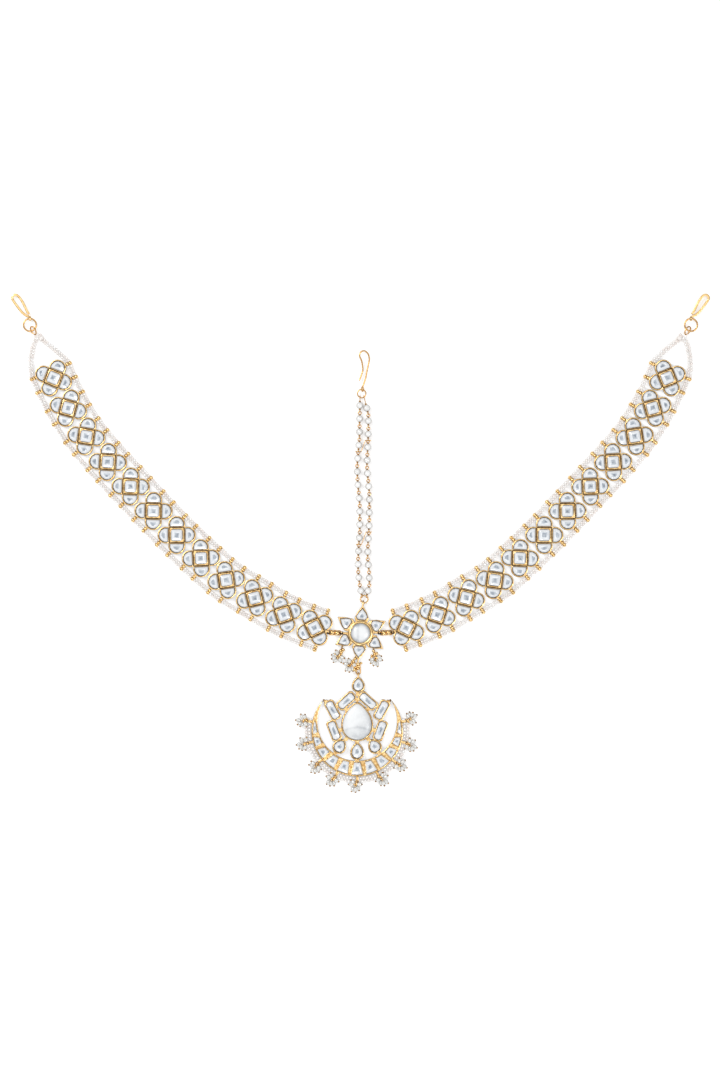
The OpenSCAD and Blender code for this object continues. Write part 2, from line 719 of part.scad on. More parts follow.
// Hook of round wire for the hair parting
hook_route = [[-0.5, 105.8], [0.7, 109.1], [1, 110.7], [0.55, 113.9], [-0.4, 116.2], [0.1, 117.8],
    [1.5, 118.4], [3, 117.4], [3.7, 115.3], [3.5, 113.4], [2.7, 109.8], [2.1, 106.6]];
hook_eye_r = 0.85;
hook_eye_wire = 0.45;
hook_eye_turn = 78;
hook_eye_lift = 0.15;
hook_eye = middle_ring + polar(middle_ring_r, hook_eye_turn) + [0, hook_eye_lift];
hook_eye_tilt = 25;

module centre_hook() {
    line = [for (p = smooth(concat(hook_route, [hook_eye + [0, hook_eye_r]]), 3)) deep(p, strand_z)];
    color("goldenrod") {
        tube(line, [for (p = line) [middle_wire / 2, middle_wire / 2]]);
        translate(deep(hook_eye, strand_z)) rotate([0, 90 - hook_eye_tilt, 0])
            ring(hook_eye_r, hook_eye_wire);
    }
}

module centre_ring() {
    color("goldenrod") translate(deep(middle_ring, strand_z)) ring(middle_ring_r, ring_wire);
}

// Spring hook of flat strip, its free end sprung against its own leg
ring_reach = 5.2;
ring_place = apex + polar(ring_reach, apex_turn);
hook_seat_turn = 92;
strip_route = [[0.07, 0], [0.3, -0.12], [0.66, -0.165], [0.88, -0.175], [0.97, -0.12], [0.98, -0.03],
    [0.9, 0.05], [0.66, 0.075], [0.45, 0.06], [0.25, 0.04], [0.15, 0.05]];

module side_hook() {
    line = smooth([for (p = strip_route) p * hook_l], 3);
    last = len(line) - 1;
    edges = [for (s = [1, -1]) [for (i = [0:last])
        let (v = line[min(i + 1, last)] - line[max(i - 1, 0)])
        line[i] + s * strip_w / 2 * unit([-v[1], v[0]])]];
    color("goldenrod") at_turn(ring_place + polar(side_ring_r, hook_seat_turn), apex_turn) difference() {
        union() {
            slab(wire_z - strip_w / 2, strip_w)
                polygon([for (i = [0:last]) edges[0][i], for (i = [last:-1:0]) edges[1][i]]);
            rotate(hook_seat_turn - apex_turn) eye(0);
        }
        rotate(hook_seat_turn - apex_turn) eye_hole(0);
    }
}

module side_ring() {
    color("goldenrod") translate(deep(ring_place, wire_z)) ring(side_ring_r, side_ring_wire);
}

// Pear-shaped wire between the bead strings and the jump ring
bail_l = 4.4;
bail_w = 2.6;
bail_wire = 0.56;
bail_tilt = 40;
bail_sharp = 0.2;

module side_bail() {
    outline = pear_outline(bail_w, bail_l - bail_wire, 14, bail_sharp);
    line = [for (p = outline) [bail_start + bail_l / 2 - p[1], p[0], 0]];
    color("goldenrod") at_turn(apex, apex_turn, wire_z) rotate([bail_tilt, 0, 0])
        wire_loop(line, bail_wire / 2);
}

sides = ["left", "right"];
NODES = concat(
    [for (s = sides, i = [1:motifs]) str(s, "_motif_", i)],
    [for (s = sides, n = ["band_stones", "bead_string", "link", "bail", "ring", "hook",
        "strand_pearls", "strand_wires"]) str(s, "_", n)],
    ["strand_ties", "centre_ring", "centre_hook", "star_frame", "star_centre_stone", "star_petal_stones",
     "star_fringe", "star_top_ring", "pendant_link", "pendant_frame", "pendant_centre_stone",
     "pendant_pears", "pendant_baguettes", "crescent_stones", "rim_string", "pendant_fringe"]
);
node = "all";

function shown(name) = node == "all" || node == name;

module on_side(s) {
    if (s == "left") mirror([1, 0, 0]) children();
    else children();
}

for (s = sides) {
    for (i = [1:motifs])
        if (shown(str(s, "_motif_", i))) on_side(s) band_frame(i - 1);
    if (shown(str(s, "_band_stones"))) on_side(s) band_stones();
    if (shown(str(s, "_bead_string"))) on_side(s) bead_string();
    if (shown(str(s, "_link"))) on_side(s) side_link();
    if (shown(str(s, "_bail"))) on_side(s) side_bail();
    if (shown(str(s, "_ring"))) on_side(s) side_ring();
    if (shown(str(s, "_hook"))) on_side(s) side_hook();
}
if (shown("left_strand_pearls")) strand_pearls(left_joints);
if (shown("right_strand_pearls")) strand_pearls(right_joints);
if (shown("left_strand_wires")) strand_wires(left_joints);
if (shown("right_strand_wires")) strand_wires(right_joints);
if (shown("strand_ties")) strand_ties();
if (shown("centre_ring")) centre_ring();
if (shown("centre_hook")) centre_hook();
if (shown("star_frame")) star_frame();
if (shown("star_centre_stone")) star_centre_stone();
if (shown("star_petal_stones")) star_petal_stones();
if (shown("star_fringe")) star_fringe();
if (shown("star_top_ring")) star_top_ring();
if (shown("pendant_link")) pendant_link();
if (shown("pendant_frame")) pendant_frame();
if (shown("pendant_centre_stone")) pendant_centre_stone();
if (shown("pendant_pears")) pendant_pears();
if (shown("pendant_baguettes")) pendant_baguettes();
if (shown("crescent_stones")) crescent_stones();
if (shown("rim_string")) rim_string();
if (shown("pendant_fringe")) pendant_fringe();
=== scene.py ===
"""The finish of a matha patti: gold, cut stones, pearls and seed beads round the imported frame."""

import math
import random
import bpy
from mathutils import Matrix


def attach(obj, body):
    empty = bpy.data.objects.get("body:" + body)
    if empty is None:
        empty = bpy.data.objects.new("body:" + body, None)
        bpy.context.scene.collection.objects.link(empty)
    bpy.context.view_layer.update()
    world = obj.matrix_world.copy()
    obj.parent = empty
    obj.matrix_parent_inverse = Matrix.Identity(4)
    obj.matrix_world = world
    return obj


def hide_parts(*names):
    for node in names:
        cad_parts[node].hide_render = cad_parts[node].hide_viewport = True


bl_info = {
    "name": "Matha Patti Finish",
    "version": (1, 0, 0),
    "blender": (4, 5, 0),
    "location": "View3D > Sidebar > Matha Patti",
    "description": "Gold, stones, pearls and beads of a bridal head jewel laid on a pale table",
    "category": "Object",
}

import bpy
import numpy as np
from mathutils import Matrix, Vector

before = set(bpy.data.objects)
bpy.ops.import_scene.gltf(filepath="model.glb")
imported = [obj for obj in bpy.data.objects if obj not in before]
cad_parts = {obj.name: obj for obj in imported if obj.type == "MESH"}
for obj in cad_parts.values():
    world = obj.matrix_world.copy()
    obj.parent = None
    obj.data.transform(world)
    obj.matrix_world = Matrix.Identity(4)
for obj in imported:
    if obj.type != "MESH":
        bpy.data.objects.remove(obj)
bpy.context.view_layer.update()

MM = 0.001
SIDES = {"left": -1, "right": 1}
EDGES = {"out": -1, "in": 1}
MOTIFS = 12
PEARLS = 15
CLUSTERS = 9

# Places and turns of the pieces in millimetres and degrees, as the frame has them
MOTIF_PITCH = 14.05
FIRST_MOTIF_REACH = 19.4
BAND_TURNS = (6.5, 23, 30, 32, 41, 43.5, 46, 47, 47, 50, 57.5, 64)
FIRST_TURN = 19
LAST_TURN = 67
KNOT_STEP = 3.1
STRING_OFFSET = 8.2
STRING_W = 1.9
KNOT_L = 1.1
KNOT_GAP = 0.15
WIRE_Z = 1.3
STRAND_Z = 1.5
APEX = Vector((136, 124.8))
APEX_TURN = 58.7
APEX_BOWS = {"out": 1.2, "in": 0.4}
STRING_TAPER = 1.4
THREAD_ROUND = ((0.5, -1), (1.15, -0.6), (1.35, 0), (1.15, 0.6), (0.5, 1))
SQUARE_HALF = 3.05
GROOVE_W = 0.25
LINK_INNER = 8
LINK_OUTER = 6.1
STAR_EYE_REACH = 12.7
STAR_TURN = 85
STAR_RING_R = 1.6
STAR_RING_TURN = 72
MIDDLE_RING = Vector((0.5, 100.4))
MIDDLE_RING_R = 1.75
LEFT_X = (-0.2, -0.3, -0.4, -0.4, -0.9, -1.4, -1.3, -0.8, -0.3, -0.3, -0.3, -0.7, -1, -1, -0.4, 0.6)
RIGHT_X = (1.5, 3.3, 3.3, 3.2, 2.9, 2.7, 3.2, 3.7, 3.7, 3.7, 3.5, 3.1, 3, 3.6, 3.8, 2.6)
LEFT_Y = (92.7, 20.5)
RIGHT_Y = (91.7, 20.4)
LOOP_HANG = 0.4
PENDANT = Vector((-1.4, -41))
RIM_REACH = 19.9
HUB_REACH = 21.4
CLUSTER_STEP = 25.3
CLUSTER_TURNS = (8, -5, 15, -25, -30, 30, 15, -10, 20)
STAR_HUBS = (((-8.4, -8.6), 232), ((-3.4, -12.2), 232), ((6, -9.4), 285))
DROP_RING_R = 0.65
DROPS = ((-60, 1.8), (0, 2.3), (60, 1.8))
DROP_PEARL = 1.9

# Modelling in millimetres and degrees: points nearer than MERGED and faces flatter than FLAT become one,
# edges shorter than SHORTEST_BEVEL stay sharp, and the rounded edges of the bezels lie above BEZEL_TOP
MERGED = 0.002
FLAT = 1.5
SHORTEST_BEVEL = 0.3
BEZEL_TOP = 1.9
GRANULE = 0.84
# Random turns of a bead about its wire in radians, and sizes of the seed beads against each other
ANY_ROLL = (0, 6)
SEED_SIZES = (0.9, 1.04)


def polar(reach, turn):
    """A flat place in mm, at a reach and a turn in degrees."""
    return Vector((reach * math.cos(math.radians(turn)), reach * math.sin(math.radians(turn))))


# Middle of the ring at the star's top
STAR_RING = polar(STAR_EYE_REACH, STAR_TURN) + polar(STAR_RING_R, STAR_RING_TURN)


def motif_place(i):
    place = polar(FIRST_MOTIF_REACH, BAND_TURNS[0])
    for turn in BAND_TURNS[1:i + 1]:
        place += polar(MOTIF_PITCH, turn)
    return place


def motif_turn(i):
    if i == 0:
        return FIRST_TURN
    return LAST_TURN if i == MOTIFS - 1 else (BAND_TURNS[i] + BAND_TURNS[i + 1]) / 2


def on_motif(i, along, across):
    turn = motif_turn(i)
    return motif_place(i) + along * polar(1, turn) + across * polar(1, turn + 90)


def sided(place, side):
    """A place of the right band, or its mirror image on the left band."""
    return Vector((place[0] * SIDES[side], *place[1:]))


def raised(flat, z):
    """A flat place at a height."""
    return Vector((flat[0], flat[1], z))


# Shader maths

class Flow:
    """An output socket of a material, so that shader maths is written as arithmetic."""

    def __init__(self, tree, socket=None):
        self.tree = tree
        self.socket = socket

    def node(self, kind, settings=None, inputs=None, out=0):
        made = self.tree.nodes.new(kind)
        for name, value in (settings or {}).items():
            if name == "stops":
                ramp = made.color_ramp
                while len(ramp.elements) < len(value):
                    ramp.elements.new(1)
                for stop, (place, shade) in zip(ramp.elements, value):
                    stop.position = place
                    stop.color = (*shade, 1)
            else:
                setattr(made, name, value)
        for name, value in (inputs or {}).items():
            if isinstance(value, Flow):
                self.tree.links.new(value.socket, made.inputs[name])
            else:
                made.inputs[name].default_value = value
        return Flow(self.tree, made.outputs[out])

    def math(self, operation, first, second):
        return self.node("ShaderNodeMath", {"operation": operation}, {0: first, 1: second})

    def __add__(self, other):
        return self.math("ADD", self, other)

    __radd__ = __add__

    def __sub__(self, other):
        return self.math("SUBTRACT", self, other)

    def __rsub__(self, other):
        return self.math("SUBTRACT", other, self)

    def __mul__(self, other):
        return self.math("MULTIPLY", self, other)

    __rmul__ = __mul__

    def between(self, low, high):
        """0 below low, 1 above high, smooth between."""
        return self.node("ShaderNodeMapRange", {"interpolation_type": "SMOOTHSTEP"},
                         {"Value": self, "From Min": low, "From Max": high})

    def mix(self, low, high):
        """The colour low where this is 0 and high where it is 1."""
        ends = [value if isinstance(value, Flow) else (*value, 1) for value in (low, high)]
        return self.node("ShaderNodeMix", {"data_type": "RGBA"}, {"Factor": self, 6: ends[0], 7: ends[1]}, 2)

    def ramp(self, *stops):
        return self.node("ShaderNodeValToRGB", {"stops": stops}, {"Fac": self})


class Finish:
    """One material on the Principled shader, with the few nodes that its finishes share."""

    def __init__(self, name):
        # The frame's own materials have the plain names
        self.material = bpy.data.materials.new("fine_" + name)
        self.material.use_nodes = True
        self.shader = self.material.node_tree.nodes["Principled BSDF"]
        self.start = Flow(self.material.node_tree)
        self.place = self.start.node("ShaderNodeTexCoord", out="Object")

    def noise(self, size_mm, detail=3.0, rough=0.5):
        return self.start.node("ShaderNodeTexNoise", None, {
            "Vector": self.place, "Scale": 1 / (size_mm * MM), "Detail": detail, "Roughness": rough})

    def value(self, attribute):
        return self.start.node("ShaderNodeAttribute", {"attribute_name": attribute}, out="Fac")

    def height(self):
        return self.start.node("ShaderNodeSeparateXYZ", None, {0: self.place}, "Z")

    def bump(self, level, depth_mm, strength=1.0):
        return self.start.node("ShaderNodeBump", None, {
            "Height": level, "Distance": depth_mm * MM, "Strength": strength})

    def sockets(self, **values):
        for name, value in values.items():
            socket = self.shader.inputs[name.replace("_", " ")]
            if isinstance(value, Flow):
                self.start.tree.links.new(value.socket, socket)
            else:
                socket.default_value = value
        return self.material


def gold_finish(look):
    """Warm polished gold plating."""
    f = Finish("gold")
    worn = f.noise(0.9, 4)
    return f.sockets(Base_Color=worn.between(0.3, 0.7).mix(look.gold, look.gold_light), Metallic=1.0,
                     Roughness=0.15 + worn * 0.14, Normal=f.bump(worn, 0.05, 0.8))


def wire_gold_finish(look):
    """Deeper gold of the drawn wires."""
    f = Finish("wire_gold")
    worn = f.noise(0.6, 3)
    return f.sockets(Base_Color=worn.between(0.3, 0.7).mix(look.wire_brown, look.wire_gold), Metallic=1.0,
                     Roughness=0.2 + worn * 0.14, Normal=f.bump(worn, 0.03, 0.5))


def set_gold_finish(look):
    """The same gold on the stone settings, with painted shade: brown on their sloping sides and dark, less
    metallic and rougher low in grooves and recesses.
    """
    f = Finish("set_gold")
    worn = f.noise(0.9, 4)
    patch = f.noise(3.5, 1)
    # Painted shade: below about 1.7 mm, in the grooves and recesses, the gold turns dark
    recess_shade = 1 - (f.height() + (patch - 0.5) * 1.6 * MM).between(0.7 * MM, 1.7 * MM)
    # Painted shade: the sloping sides just below the bezels' tops turn brown
    edge = 1 - f.height().between(1.84 * MM, 1.98 * MM)
    warm = worn.between(0.32, 0.68).mix(look.gold_brown, look.gold_light)
    side_shaded = (edge * 0.75).mix(warm, look.brown_and_side_shade)
    return f.sockets(Base_Color=(recess_shade * 0.95).mix(side_shaded, look.dark_shade_brown), Metallic=1 - recess_shade * 0.7,
                     Roughness=0.16 + worn * 0.15 + recess_shade * 0.3, Normal=f.bump(worn, 0.07, 0.9))


def cut_stone_finish(look):
    """Foil-backed glass: white at its rim, grey and bluish where the foil shows through the table."""
    f = Finish("cut_stone")
    cloud = f.noise(0.8, 3)
    level = f.value("tone") + (cloud - 0.5) * 0.45
    colour = level.ramp((0.05, look.stone_dark), (0.32, look.stone_grey), (0.68, look.stone_light),
                        (0.9, look.stone_rim))
    return f.sockets(Base_Color=colour, Roughness=0.06 + cloud * 0.1, Coat_Weight=1.0, Coat_Roughness=0.02,
                     Specular_IOR_Level=0.7, Normal=f.bump(cloud, 0.02, 0.3))


def domed_stone_finish(look):
    """Pearly white dome with painted shade: the pear grey towards one side, the star grey at its edge, both
    mottled by soft random clouds.
    """
    f = Finish("domed_stone")
    cloud = f.noise(4.0, 3, 0.6)
    fine = f.noise(1.2, 2)
    colour = (f.value("tone") + (cloud - 0.5) * 0.7).between(0.1, 0.9).mix(look.dome_shade_grey, look.dome_light)
    return f.sockets(Base_Color=colour, Roughness=0.3 + fine * 0.12, Coat_Weight=0.5, Coat_Roughness=0.18)


def pearl_finish(look):
    """White pearl, a little different from one to the next, with painted shade round its lower sides."""
    f = Finish("pearl")
    skin = f.noise(0.8, 3)
    body = (f.value("tone") * 0.7 + skin * 0.3).mix(look.pearl_grey, look.pearl_light)
    return f.sockets(Base_Color=f.value("rise").between(0.1, 0.85).mix(look.pearl_edge_shade, body),
                     Roughness=0.14 + skin * 0.12, Coat_Weight=0.8, Coat_Roughness=0.05,
                     Normal=f.bump(skin, 0.03, 0.25))


def drop_pearl_finish(look):
    """Small glassy pearls of the fringes, a little clear, with painted shade round their lower sides."""
    f = Finish("drop_pearl")
    skin = f.noise(0.6, 3)
    body = (f.value("tone") * 0.6 + skin * 0.4).mix(look.drop_grey, look.drop_light)
    return f.sockets(Base_Color=f.value("rise").between(0.0, 0.8).mix(look.pearl_edge_shade, body),
                     Roughness=0.1 + skin * 0.08, Coat_Weight=0.8, Coat_Roughness=0.03,
                     Transmission_Weight=0.25)


def seed_finish(look):
    """Small glass beads, milky with a pink or cream cast, with painted shade round their lower sides."""
    f = Finish("seed_bead")
    body = f.value("tone").ramp((0.0, look.seed_pink), (0.45, look.seed_cream), (1.0, look.seed_white))
    colour = f.value("rise").between(-0.1, 0.75).mix(look.seed_edge_shade, body)
    return f.sockets(Base_Color=colour, Roughness=0.1 + f.noise(0.5, 2) * 0.15, Coat_Weight=0.6,
                     Coat_Roughness=0.05, Transmission_Weight=0.1)


def eye_shade_finish(look):
    """Painted shade: near-black loops that stand in for the shadow at the side links' eyes."""
    f = Finish("dark_wire")
    worn = f.noise(0.4, 2)
    return f.sockets(Base_Color=worn.mix(look.dark_shade_brown, look.eye_shade_black), Metallic=0.6,
                     Roughness=0.4 + worn * 0.2)


def brown_gold_finish(look):
    """Dulled brown gold of the pins' heads."""
    f = Finish("brown_gold")
    worn = f.noise(0.5, 2)
    return f.sockets(Base_Color=worn.between(0.3, 0.7).mix(look.brown_and_side_shade, look.gold_brown), Metallic=0.9,
                     Roughness=0.25 + worn * 0.2)


def groove_shade_finish(look):
    """Painted shade: dark brown strips laid in the grooves between bezels, where shade falls."""
    f = Finish("groove")
    worn = f.noise(0.9, 2)
    return f.sockets(Base_Color=worn.between(0.4, 0.8).mix(look.dark_shade_brown, look.brown_and_side_shade),
                     Roughness=0.6 + worn * 0.2, Specular_IOR_Level=0.15)


def thread_finish(look):
    """Twisted cream thread."""
    f = Finish("thread")
    fibre = f.noise(0.12, 2)
    return f.sockets(Base_Color=fibre.mix(look.seed_cream, look.seed_pink), Roughness=0.6 + fibre * 0.3,
                     Normal=f.bump(fibre, 0.03))


def table_finish(look):
    """Pale smooth table."""
    f = Finish("table")
    grain = f.noise(9, 2)
    return f.sockets(Base_Color=grain.mix(look.table, look.table_light), Roughness=0.7 + grain * 0.1,
                     Emission_Color=(1, 1, 1, 1), Emission_Strength=0.5)


FINISHES = {
    "gold": gold_finish,
    "wire_gold": wire_gold_finish,
    "set_gold": set_gold_finish,
    "cut_stone": cut_stone_finish,
    "domed_stone": domed_stone_finish,
    "pearl": pearl_finish,
    "drop_pearl": drop_pearl_finish,
    "seed_bead": seed_finish,
    "dark_wire": eye_shade_finish,
    "brown_gold": brown_gold_finish,
    "groove": groove_shade_finish,
    "thread": thread_finish,
    "table": table_finish,
}


def finish_of(name):
    return bpy.data.materials.get("fine_" + name) or FINISHES[name](bpy.context.scene.patti_look)


# Modelling

def only(piece):
    """Selects one piece alone and makes it the active one."""
    bpy.ops.object.select_all(action="DESELECT")
    piece.select_set(True)
    bpy.context.view_layer.objects.active = piece


def added(operator, **values):
    """What an add operator makes, with everything else deselected."""
    bpy.ops.object.select_all(action="DESELECT")
    operator(**values)
    return bpy.context.object


def linked(name, data):
    """A new object in the scene, at the origin."""
    piece = bpy.data.objects.new(name, data)
    bpy.context.scene.collection.objects.link(piece)
    return piece


def applied(piece, modifier):
    only(piece)
    bpy.ops.object.modifier_apply(modifier=modifier.name)


def mark(mesh, name, values, domain="POINT"):
    """Keeps a number for each point or edge of a mesh, under a name that materials and modifiers read."""
    mesh.attributes.new(name, "FLOAT", domain).data.foreach_set("value", values)


def editing(piece, *steps, choose=None):
    """Runs steps in edit mode on all faces, or on those that pass a test."""
    only(piece)
    if choose:
        mesh = piece.data
        for parts in (mesh.vertices, mesh.edges):
            parts.foreach_set("select", [False] * len(parts))
        mesh.polygons.foreach_set("select", [bool(choose(face)) for face in mesh.polygons])
    bpy.ops.object.mode_set(mode="EDIT")
    bpy.ops.mesh.select_mode(type="FACE")
    if not choose:
        bpy.ops.mesh.select_all(action="SELECT")
    for operator, values in steps:
        operator(**values)
    bpy.ops.object.mode_set(mode="OBJECT")


def copy_of(node, name, faces="whole"):
    """A merged copy of a frame node: its flat faces whole, or split for a bevel, or quads for subdivision."""
    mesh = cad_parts[node].data.copy()
    mesh.name = name
    piece = linked(name, mesh)
    steps = {"whole": [(bpy.ops.mesh.dissolve_limited, {"angle_limit": math.radians(FLAT)})],
             "quads": [(bpy.ops.mesh.tris_convert_to_quads, {})]}
    steps["split"] = steps["whole"] + [
        (bpy.ops.mesh.quads_convert_to_tris, {"quad_method": "BEAUTY", "ngon_method": "BEAUTY"})]
    editing(piece, (bpy.ops.mesh.remove_doubles, {"threshold": MERGED * MM}), *steps[faces])
    if mesh.has_custom_normals:
        bpy.ops.mesh.customdata_custom_splitnormals_clear()
    return piece


def soften(piece, width_mm=0.0, segments=2, limit=35, within=None):
    """Rounds the sharp edges whose ends pass a test, and shades the piece smooth."""
    if width_mm:
        mesh = piece.data
        editing(piece, (bpy.ops.mesh.select_mode, {"type": "EDGE"}),
                (bpy.ops.mesh.select_all, {"action": "DESELECT"}),
                (bpy.ops.mesh.edges_select_sharp, {"sharpness": math.radians(limit)}))
        passed = [not within or within(v.co / MM) for v in mesh.vertices]
        spans = [mesh.vertices[a].co - mesh.vertices[b].co for a, b in mesh.edge_keys]
        long = {key for key, span in zip(mesh.edge_keys, spans) if span.length > SHORTEST_BEVEL * MM}
        mark(mesh, "bevel_weight_edge", [
            float(edge.select and edge.key in long and all(passed[k] for k in edge.vertices))
            for edge in mesh.edges], "EDGE")
        bevel = piece.modifiers.new("edges", "BEVEL")
        bevel.width = width_mm * MM
        bevel.segments = segments
        bevel.limit_method = "WEIGHT"
        bevel.use_clamp_overlap = False
        applied(piece, bevel)
    only(piece)
    bpy.ops.object.shade_smooth_by_angle(angle=math.radians(limit))


def rounded(piece, levels=1):
    """Subdivides a coarse piece into a smooth one."""
    smooth = piece.modifiers.new("smooth", "SUBSURF")
    smooth.levels = levels
    smooth.render_levels = levels
    applied(piece, smooth)
    bpy.ops.object.shade_smooth_by_angle(angle=math.radians(40))


def refit(piece, source):
    """Stretches a piece to the box of the node that it was made from."""
    old, new = (np.array([v.co for v in thing.data.vertices]) for thing in (source, piece))
    scale = (old.max(0) - old.min(0)) / (new.max(0) - new.min(0))
    for v, place in zip(piece.data.vertices, old.min(0) + (new - new.min(0)) * scale):
        v.co = place


def give(piece, slot, *nodes, finish=None):
    """Finishes a piece: gives it the material of its finish, or else the one that slot names, hangs it under
    the root, and hides the frame nodes that it stands for.
    """
    piece.data.materials.clear()
    piece.data.materials.append(finish_of(finish or slot))
    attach(piece, "root")
    if nodes:
        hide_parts(*nodes)


def taken(piece):
    """The points and faces of a finished pattern piece, which is then thrown away."""
    mesh = piece.data
    points = np.array([v.co for v in mesh.vertices])
    faces = [tuple(face.vertices) for face in mesh.polygons]
    bpy.data.objects.remove(piece)
    return points, faces


def bead_pattern(across, dent, around, rows, drop=0.0, stretch=1.0):
    """A bead with its hole along Z, its ends dented, its upper half drawn in by drop, and stretched."""
    radius = across / 2 * MM
    bead = added(bpy.ops.mesh.primitive_uv_sphere_add, segments=around, ring_count=rows, radius=radius)
    for v in bead.data.vertices:
        share = v.co.z / radius
        if abs(share) > 0.999:
            v.co.z *= dent
        v.co.z *= stretch
        slim = 1 - drop * max(share, 0) ** 1.5
        v.co.x *= slim
        v.co.y *= slim
    return taken(bead)


def ring_pattern(radius, wire, around=18, sides=8):
    """A ring round the Z axis."""
    return taken(added(bpy.ops.mesh.primitive_torus_add, major_radius=radius * MM, minor_radius=wire / 2 * MM,
                       major_segments=around, minor_segments=sides))


def pin_pattern(wire, length):
    """A pin from 0 to length along Z."""
    pin = added(bpy.ops.mesh.primitive_cylinder_add, vertices=8, radius=wire / 2 * MM, depth=length * MM)
    for v in pin.data.vertices:
        v.co.z += length / 2 * MM
    return taken(pin)


def laid(place, along=(0, 0, 1), roll=0.0, size=1.0):
    """A matrix that stands a pattern at a place in mm, its Z axis along a direction."""
    turn = Vector(along).to_3d().to_track_quat("Z", "Y").to_matrix().to_4x4()
    scale = Matrix.Diagonal((size, size, size, 1))
    return Matrix.Translation(Vector(place) * MM) @ turn @ Matrix.Rotation(roll, 4, "Z") @ scale


def strung(name, batches):
    """One mesh of many copies: batches holds a pattern and a list of (matrix, tone) for each kind.

    Each point keeps its copy's tone, and its rise from -1 at the copy's underside to 1 at its top, which the
    bead finishes read to paint shade round the lower sides.
    """
    points, faces, tones, rises = [], [], [], []
    start = 0
    for (shape, polygons), copies in batches:
        for matrix, tone in copies:
            m = np.array(matrix)
            turned = shape @ m[:3, :3].T
            points.append(turned + m[:3, 3])
            rises.extend(turned[:, 2] / np.abs(turned[:, 2]).max())
            faces.extend(tuple(start + k for k in face) for face in polygons)
            tones.extend([tone] * len(shape))
            start += len(shape)
    mesh = bpy.data.meshes.new(name)
    mesh.from_pydata(np.concatenate(points).tolist(), [], faces)
    mark(mesh, "tone", tones)
    mark(mesh, "rise", rises)
    piece = linked(name, mesh)
    soften(piece, limit=50)
    return piece


def wires(name, lines, wire, closed=False):
    """Round wires through places in mm, one for each line, with closed ends or closed on themselves."""
    curve = bpy.data.curves.new(name, "CURVE")
    curve.dimensions = "3D"
    curve.bevel_depth = wire / 2 * MM
    curve.bevel_resolution = 2
    curve.resolution_u = 4 if closed else 6
    curve.use_fill_caps = True
    for places in lines:
        spline = curve.splines.new("NURBS")
        spline.points.add(len(places) - 1)
        for point, place in zip(spline.points, places):
            point.co = (*(Vector(place) * MM), 1)
        spline.use_cyclic_u = closed
        spline.use_endpoint_u = not closed
        spline.order_u = 3
    only(linked(name, curve))
    bpy.ops.object.convert(target="MESH")
    piece = bpy.context.object
    soften(piece, limit=60)
    return piece


def spaced(points, step, ends=0.0):
    """Places and directions every step or so along a line of points, its ends left free."""
    spans = [(b - a).length for a, b in zip(points, points[1:])]
    room = sum(spans) - 2 * ends
    count = max(1, round(room / step))
    found = []
    for k in range(count):
        left = ends + (k + 0.5) * room / count
        for a, b, span in zip(points, points[1:], spans):
            if left <= span:
                found.append((a.lerp(b, left / span), (b - a).normalized()))
                break
            left -= span
    return found


# Bead rows along the edges of a band

def rows_of(points, spread):
    """The two rows beside a line, each point moved along the line's own side."""
    last = len(points) - 1
    ways = [(points[min(k + 1, last)] - points[max(k - 1, 0)]).normalized() for k in range(last + 1)]
    return [[point + row * spread(k / last) * Vector((-way.y, way.x))
             for k, (point, way) in enumerate(zip(points, ways))] for row in (-1, 1)]


def edge_spans(edge):
    """Each stretch between two knots of the right band's inner or outer string, and the ways across there."""
    knots = [(i, s) for i in range(MOTIFS) for s in (-1, 1)]
    places = [on_motif(i, s * KNOT_STEP, EDGES[edge] * STRING_OFFSET) for i, s in knots]
    sides = [polar(1, motif_turn(i) + 90) for i, _ in knots]
    return list(zip(places, places[1:], sides, sides[1:]))


def apex_line(edge):
    """The beads' way from the last knot to the bail."""
    sign = EDGES[edge]
    start = on_motif(MOTIFS - 1, KNOT_STEP, sign * STRING_OFFSET)
    bend = on_motif(MOTIFS - 1, KNOT_STEP + KNOT_L, sign * STRING_OFFSET)
    end = APEX - STRING_TAPER * (APEX - bend).normalized()
    way = (end - bend).normalized()
    bow = APEX_BOWS[edge] * sign * Vector((-way.y, way.x))
    return [start] + [bend.lerp(end, t) + 4 * t * (1 - t) * bow for t in (0, 0.25, 0.5, 0.75, 1)]


# Settings in the sidebar

def tint(name, description, default):
    """A colour that a user may change."""
    return bpy.props.FloatVectorProperty(name=name, description=description, default=default, size=3,
                                         min=0.0, max=1.0, subtype="COLOR")


def measure(name, description, default):
    """A size in mm that a user may change."""
    return bpy.props.FloatProperty(name=name, description=description, default=default, min=0.0)


